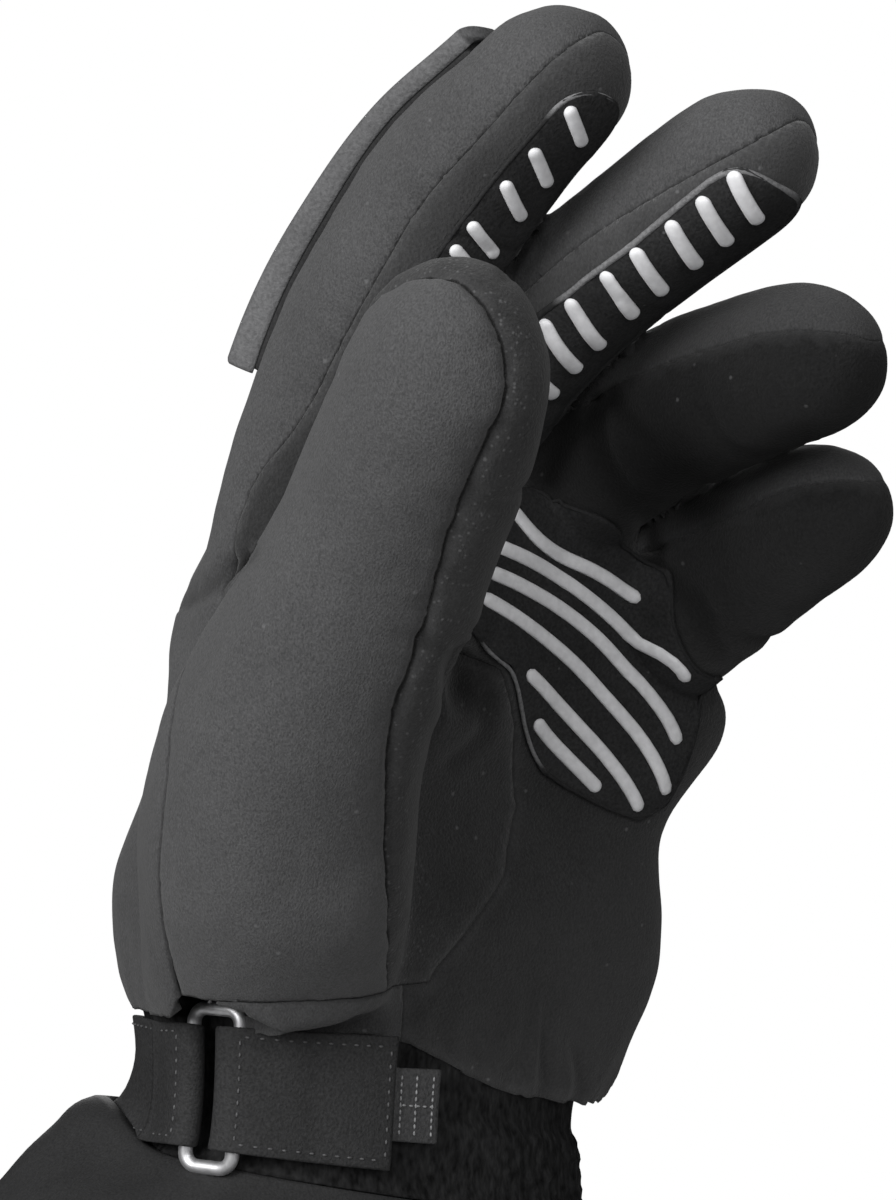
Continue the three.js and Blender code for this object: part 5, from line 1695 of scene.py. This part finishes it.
inset = STRAP["half"] - STITCH["inset"]
bm = bmesh.new()
for name, end in STRAP_ENDS.items():
    t, h = upper_face(end)
    ends = np.arange(STITCH["first"], end["over"] - STITCH["last"], STITCH["pitch"])
    heights = np.interp(ends, t, h)
    for w in (-inset, inset):
        for i in range(len(ends) - 1):
            start = (end["side"] * ends[i], heights[i], w)
            stitch_row(bm, start, (end["side"] * ends[i + 1], heights[i + 1], w), count=1)
    across_at = [STITCH["first"]] + ([end["over"] - STITCH["cross"]] if end["side"] > 0 else [])
    for place in across_at:
        height = float(np.interp(place, t, h))
        stitch_row(bm, (end["side"] * place, height, -inset), (end["side"] * place, height, inset))
base_top = STRAP_LOW + STRAP["thick"] + STITCH["above"]
for w in (-inset, inset):
    stitch_row(bm, (-STRAP_ENDS["strap_base"]["over"] - 1, base_top, w), (BASE_ROW, base_top, w))
new_piece("strap_stitches", bm, THREAD)

tab_run = np.linspace(TAB["start"], TAB["end"], TAB["rings"])
tab_path = np.stack([tab_run, np.full(TAB["rings"], TAB["low"] + TAB["thick"] / 2)], 1)
bm = ribbon(tab_path, flat_section(TAB["half"], TAB["thick"], edge=0.35), 1)
piece = new_piece("strap_tab_webbing", bm, TAB_CLOTH)
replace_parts(piece, "strap_tab")
bm = bmesh.new()
tab_top = TAB["low"] + TAB["thick"] + 0.05
for t in TAB["tacks"]:
    stitch_row(bm, (t, tab_top, 1 - TAB["half"]), (t, tab_top, TAB["half"] - 1), count=9)
stitch_row(bm, (TAB["tacks"][0], tab_top, 0), (TAB["stitches_end"], tab_top, 0), count=5)
piece = new_piece("tab_stitches", bm, TACK_THREAD)
print("the tab's stitches:", len(piece.data.polygons), "faces")

# %% [markdown]
# The buckle is a steel wire bent to a rounded rectangle. Its middle line is four quarter circles joined by
# straight runs, and a circle is carried along it.

# %% Buckle
CORNER_TURNS = range(0, 91, 10)


def buckle_line(wide):
    """Places (a, b, heading) along the wire, a along the strap and b across it."""
    line = []
    for side, up in ((1, 1), (-1, 1), (-1, -1), (1, -1)):
        for turn in CORNER_TURNS:
            heading = math.atan2(up, side) + math.radians(turn - 45)
            a = side * (wide - RING["corner"]) + RING["corner"] * math.cos(heading)
            b = up * (RING["tall"] - RING["corner"]) + RING["corner"] * math.sin(heading)
            line.append((a, b, heading))
    return line


left, right = strap_point(-RING["half"], RING["lift"], 0), strap_point(RING["half"], RING["lift"], 0)
low_end = strap_point(0, RING["lift"], -STRAP["half"])
high_end = strap_point(0, RING["lift"], STRAP["half"])
along_strap = (right - left) / np.linalg.norm(right - left)
up_strap = (high_end - low_end) / np.linalg.norm(high_end - low_end)
out_strap = np.cross(along_strap, up_strap)
out_strap /= np.linalg.norm(out_strap)
turns = 2 * math.pi * np.arange(RING["sides"]) / RING["sides"]
rings = []
for a, b, heading in buckle_line(float(np.linalg.norm(right - left)) / 2):
    middle = (left + right) / 2 + along_strap * a + up_strap * b
    away = along_strap * math.cos(heading) + up_strap * math.sin(heading)
    section = np.outer(np.cos(turns), away) + np.outer(np.sin(turns), out_strap)
    rings.append(middle + RING["wire"] * section)
piece = new_piece("buckle_wire", tube_mesh(rings, closed=True), STEEL)
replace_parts(piece, "buckle")
print("buckle:", len(piece.data.polygons), "faces")

# %% [markdown]
# The strip on the back of the forefinger is a firm raised band with square ends. Its section follows the
# roundness of the finger, so it sits on the cloth all along. A narrower layer of dark cloth lifts it, and
# its darkness is a painted shadow under the strip's edges.

# %% Strip on the back of the forefinger
BACK_STRIP = {"start": 54, "end": 120.8, "around": 244, "half": 6.5, "edge": 0.5, "sunk": 0.9, "over": 0.6,
              "drop": 0.45, "rings": 44, "end_ring": 0.25, "flatter": 0.98}
STRIP_HIGH = table("s high", (54, 5.8), (85, 5.1), (105, 4.2), (124, 3.9))
# The base layer lifts the strip, and its dark cloth is a painted shadow under the strip's edges.
STRIP_BASE_PAINTED_SHADOW = {"narrower": 0.45, "shorter": 0.8, "high": 0.9, "joined": 0.2}  # the dark band under the strip
REACH = {"least": 0.0, "most": 30.0, "halvings": 24}  # how a finger's surface is searched for


def finger_reach(one, s, turn, beside_line):
    """How far a finger's surface lies out along a direction, beside that direction's own line."""
    a, b = digit_size(one, "across", s), digit_size(one, "thick", s)
    near, far = REACH["least"], REACH["most"]
    for _ in range(REACH["halvings"]):
        out = (near + far) / 2
        u = out * math.cos(turn) - beside_line * math.sin(turn)
        v = out * math.sin(turn) + beside_line * math.cos(turn)
        inside = abs(u / a) ** one["square"] + abs(v / b) ** one["square"] < 1
        near, far = (out, far) if inside else (near, out)
    return near


def strip_ring(s, half, low, high):
    """A section of the strip between two heights over the finger."""
    one = DIGITS["index"]
    turn = math.radians(BACK_STRIP["around"])
    ring = []
    for w, n in flat_section(half, high - low, BACK_STRIP["edge"], 6, 14):
        out = finger_reach(one, s, turn, w * BACK_STRIP["flatter"]) + n + (high + low) / 2
        u = out * math.cos(turn) - w * math.sin(turn)
        v = out * math.sin(turn) + w * math.cos(turn)
        ring.append(beside(one, s, u, v))
    return ring


def strip_layer(start, end, half, low, high_at):
    """A closed layer along the strip, its two ends a little rounded."""
    rings = []
    over = BACK_STRIP["over"]
    middle = np.linspace(start + over, end - over, BACK_STRIP["rings"])
    first, last = [start, start + BACK_STRIP["end_ring"]], [end - BACK_STRIP["end_ring"], end]
    for s in np.concatenate([first, middle, last]):
        drop = BACK_STRIP["drop"] * (1 - min(1.0, min(s - start, end - s) / over)) ** 2
        rings.append(strip_ring(s, half - drop, low, high_at(s) - drop))
    return tube_mesh(rings)


start, end = BACK_STRIP["start"], BACK_STRIP["end"]
narrow = BACK_STRIP["half"] - STRIP_BASE_PAINTED_SHADOW["narrower"]
short_start, short_end = start + STRIP_BASE_PAINTED_SHADOW["shorter"], end - STRIP_BASE_PAINTED_SHADOW["shorter"]
# dark cloth under the strip, as a painted shadow along its edges
base = strip_layer(short_start, short_end, narrow, -BACK_STRIP["sunk"], lambda s: STRIP_BASE_PAINTED_SHADOW["high"])
new_piece("index_back_strip_base_painted_shadow", base, SHELL_CLOTH)
band = strip_layer(
    start, end, BACK_STRIP["half"], STRIP_BASE_PAINTED_SHADOW["high"] - STRIP_BASE_PAINTED_SHADOW["joined"],
    lambda s: float(value(STRIP_HIGH, "high", "s", s)),
)
piece = new_piece("index_back_strip_band", band, STRIP)
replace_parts(piece, "index_back_strip")
print("strip:", len(piece.data.polygons), "faces")

# %% [markdown]
# The camera stands where the photograph was taken from: 50 degrees round from the thumb's side and a
# little above. The light is soft, from four large lamps: one from the upper left, weaker ones from the
# right and from above, and one behind the glove for its edges. The room is plain white where it is seen.

# %% Camera, light and floor
ROOM_LIGHT = 0.03  # the room is seen as plain white, and lights the glove with this share of it
camera_data = bpy.data.cameras.new("camera")
camera_data.lens = VIEW["lens"]
camera_data.sensor_width = SENSOR
camera = bpy.data.objects.new("camera", camera_data)
camera.location = eye * MM
camera.rotation_euler = to_camera.to_track_quat("Z", "Y").to_euler()
bpy.context.scene.collection.objects.link(camera)
bpy.context.scene.camera = camera

world = bpy.data.worlds.new("white_room")
world.use_nodes = True
background = next(item for item in world.node_tree.nodes if item.type == "BACKGROUND")
background.inputs["Color"].default_value = (1, 1, 1, 1)
seen = node(world.node_tree, "LightPath").outputs["Is Camera Ray"]
strength = spread(world.node_tree, seen, 0.0, 1.0, ROOM_LIGHT, 1.0)
world.node_tree.links.new(strength, background.inputs["Strength"])
bpy.context.scene.world = world
bpy.context.scene.view_settings.view_transform = "Standard"

LAMP_SIZE = 500
LAMPS = {  # how far each lamp stands from the glove to the camera, to the right and up, and its power
    "key": (600, -500, 260, 7.0), "fill": (800, 250, 200, 2.6), "top": (500, 0, 750, 1.8),
    "back": (-900, 0, 150, 5),
}
for name, (near, right, up, power) in LAMPS.items():
    data = bpy.data.lights.new(name, "AREA")
    data.size = LAMP_SIZE * MM
    data.energy = power
    lamp = bpy.data.objects.new(name, data)
    off = to_camera * near + to_right * right + Vector((0, 0, up))
    lamp.location = (target + off) * MM
    lamp.rotation_euler = off.to_track_quat("Z", "Y").to_euler()
    bpy.context.scene.collection.objects.link(lamp)

FLOOR = {"radius": 185, "below": 2}
bm = bmesh.new()
bmesh.ops.create_circle(bm, cap_ends=True, segments=96, radius=FLOOR["radius"] * MM)
floor_mesh = bpy.data.meshes.new("floor")
bm.to_mesh(floor_mesh)
bm.free()
floor = bpy.data.objects.new("floor", floor_mesh)
bpy.context.scene.collection.objects.link(floor)
floor_material, _, floor_shader, _ = new_material("floor_paint", Roughness=0.9)
floor_shader.inputs["Base Color"].default_value = (0.6, 0.6, 0.6, 1)
floor_mesh.materials.append(floor_material)
floor.location.z = -FLOOR["below"] * MM
floor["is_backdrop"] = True
print("camera at", [round(x, 3) for x in camera.location], "lamps:", len(LAMPS))

# %% [markdown]
# The dressed glove should be no larger than the imported model, apart from a little softness, so the boxes
# round both are kept side by side.

# %% Measure the boxes and finish
dressed_box = [list(corner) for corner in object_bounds()]
print("box in the model:", [[round(x, 4) for x in corner] for corner in cad_box])
print("box when dressed:", [[round(x, 4) for x in corner] for corner in dressed_box])
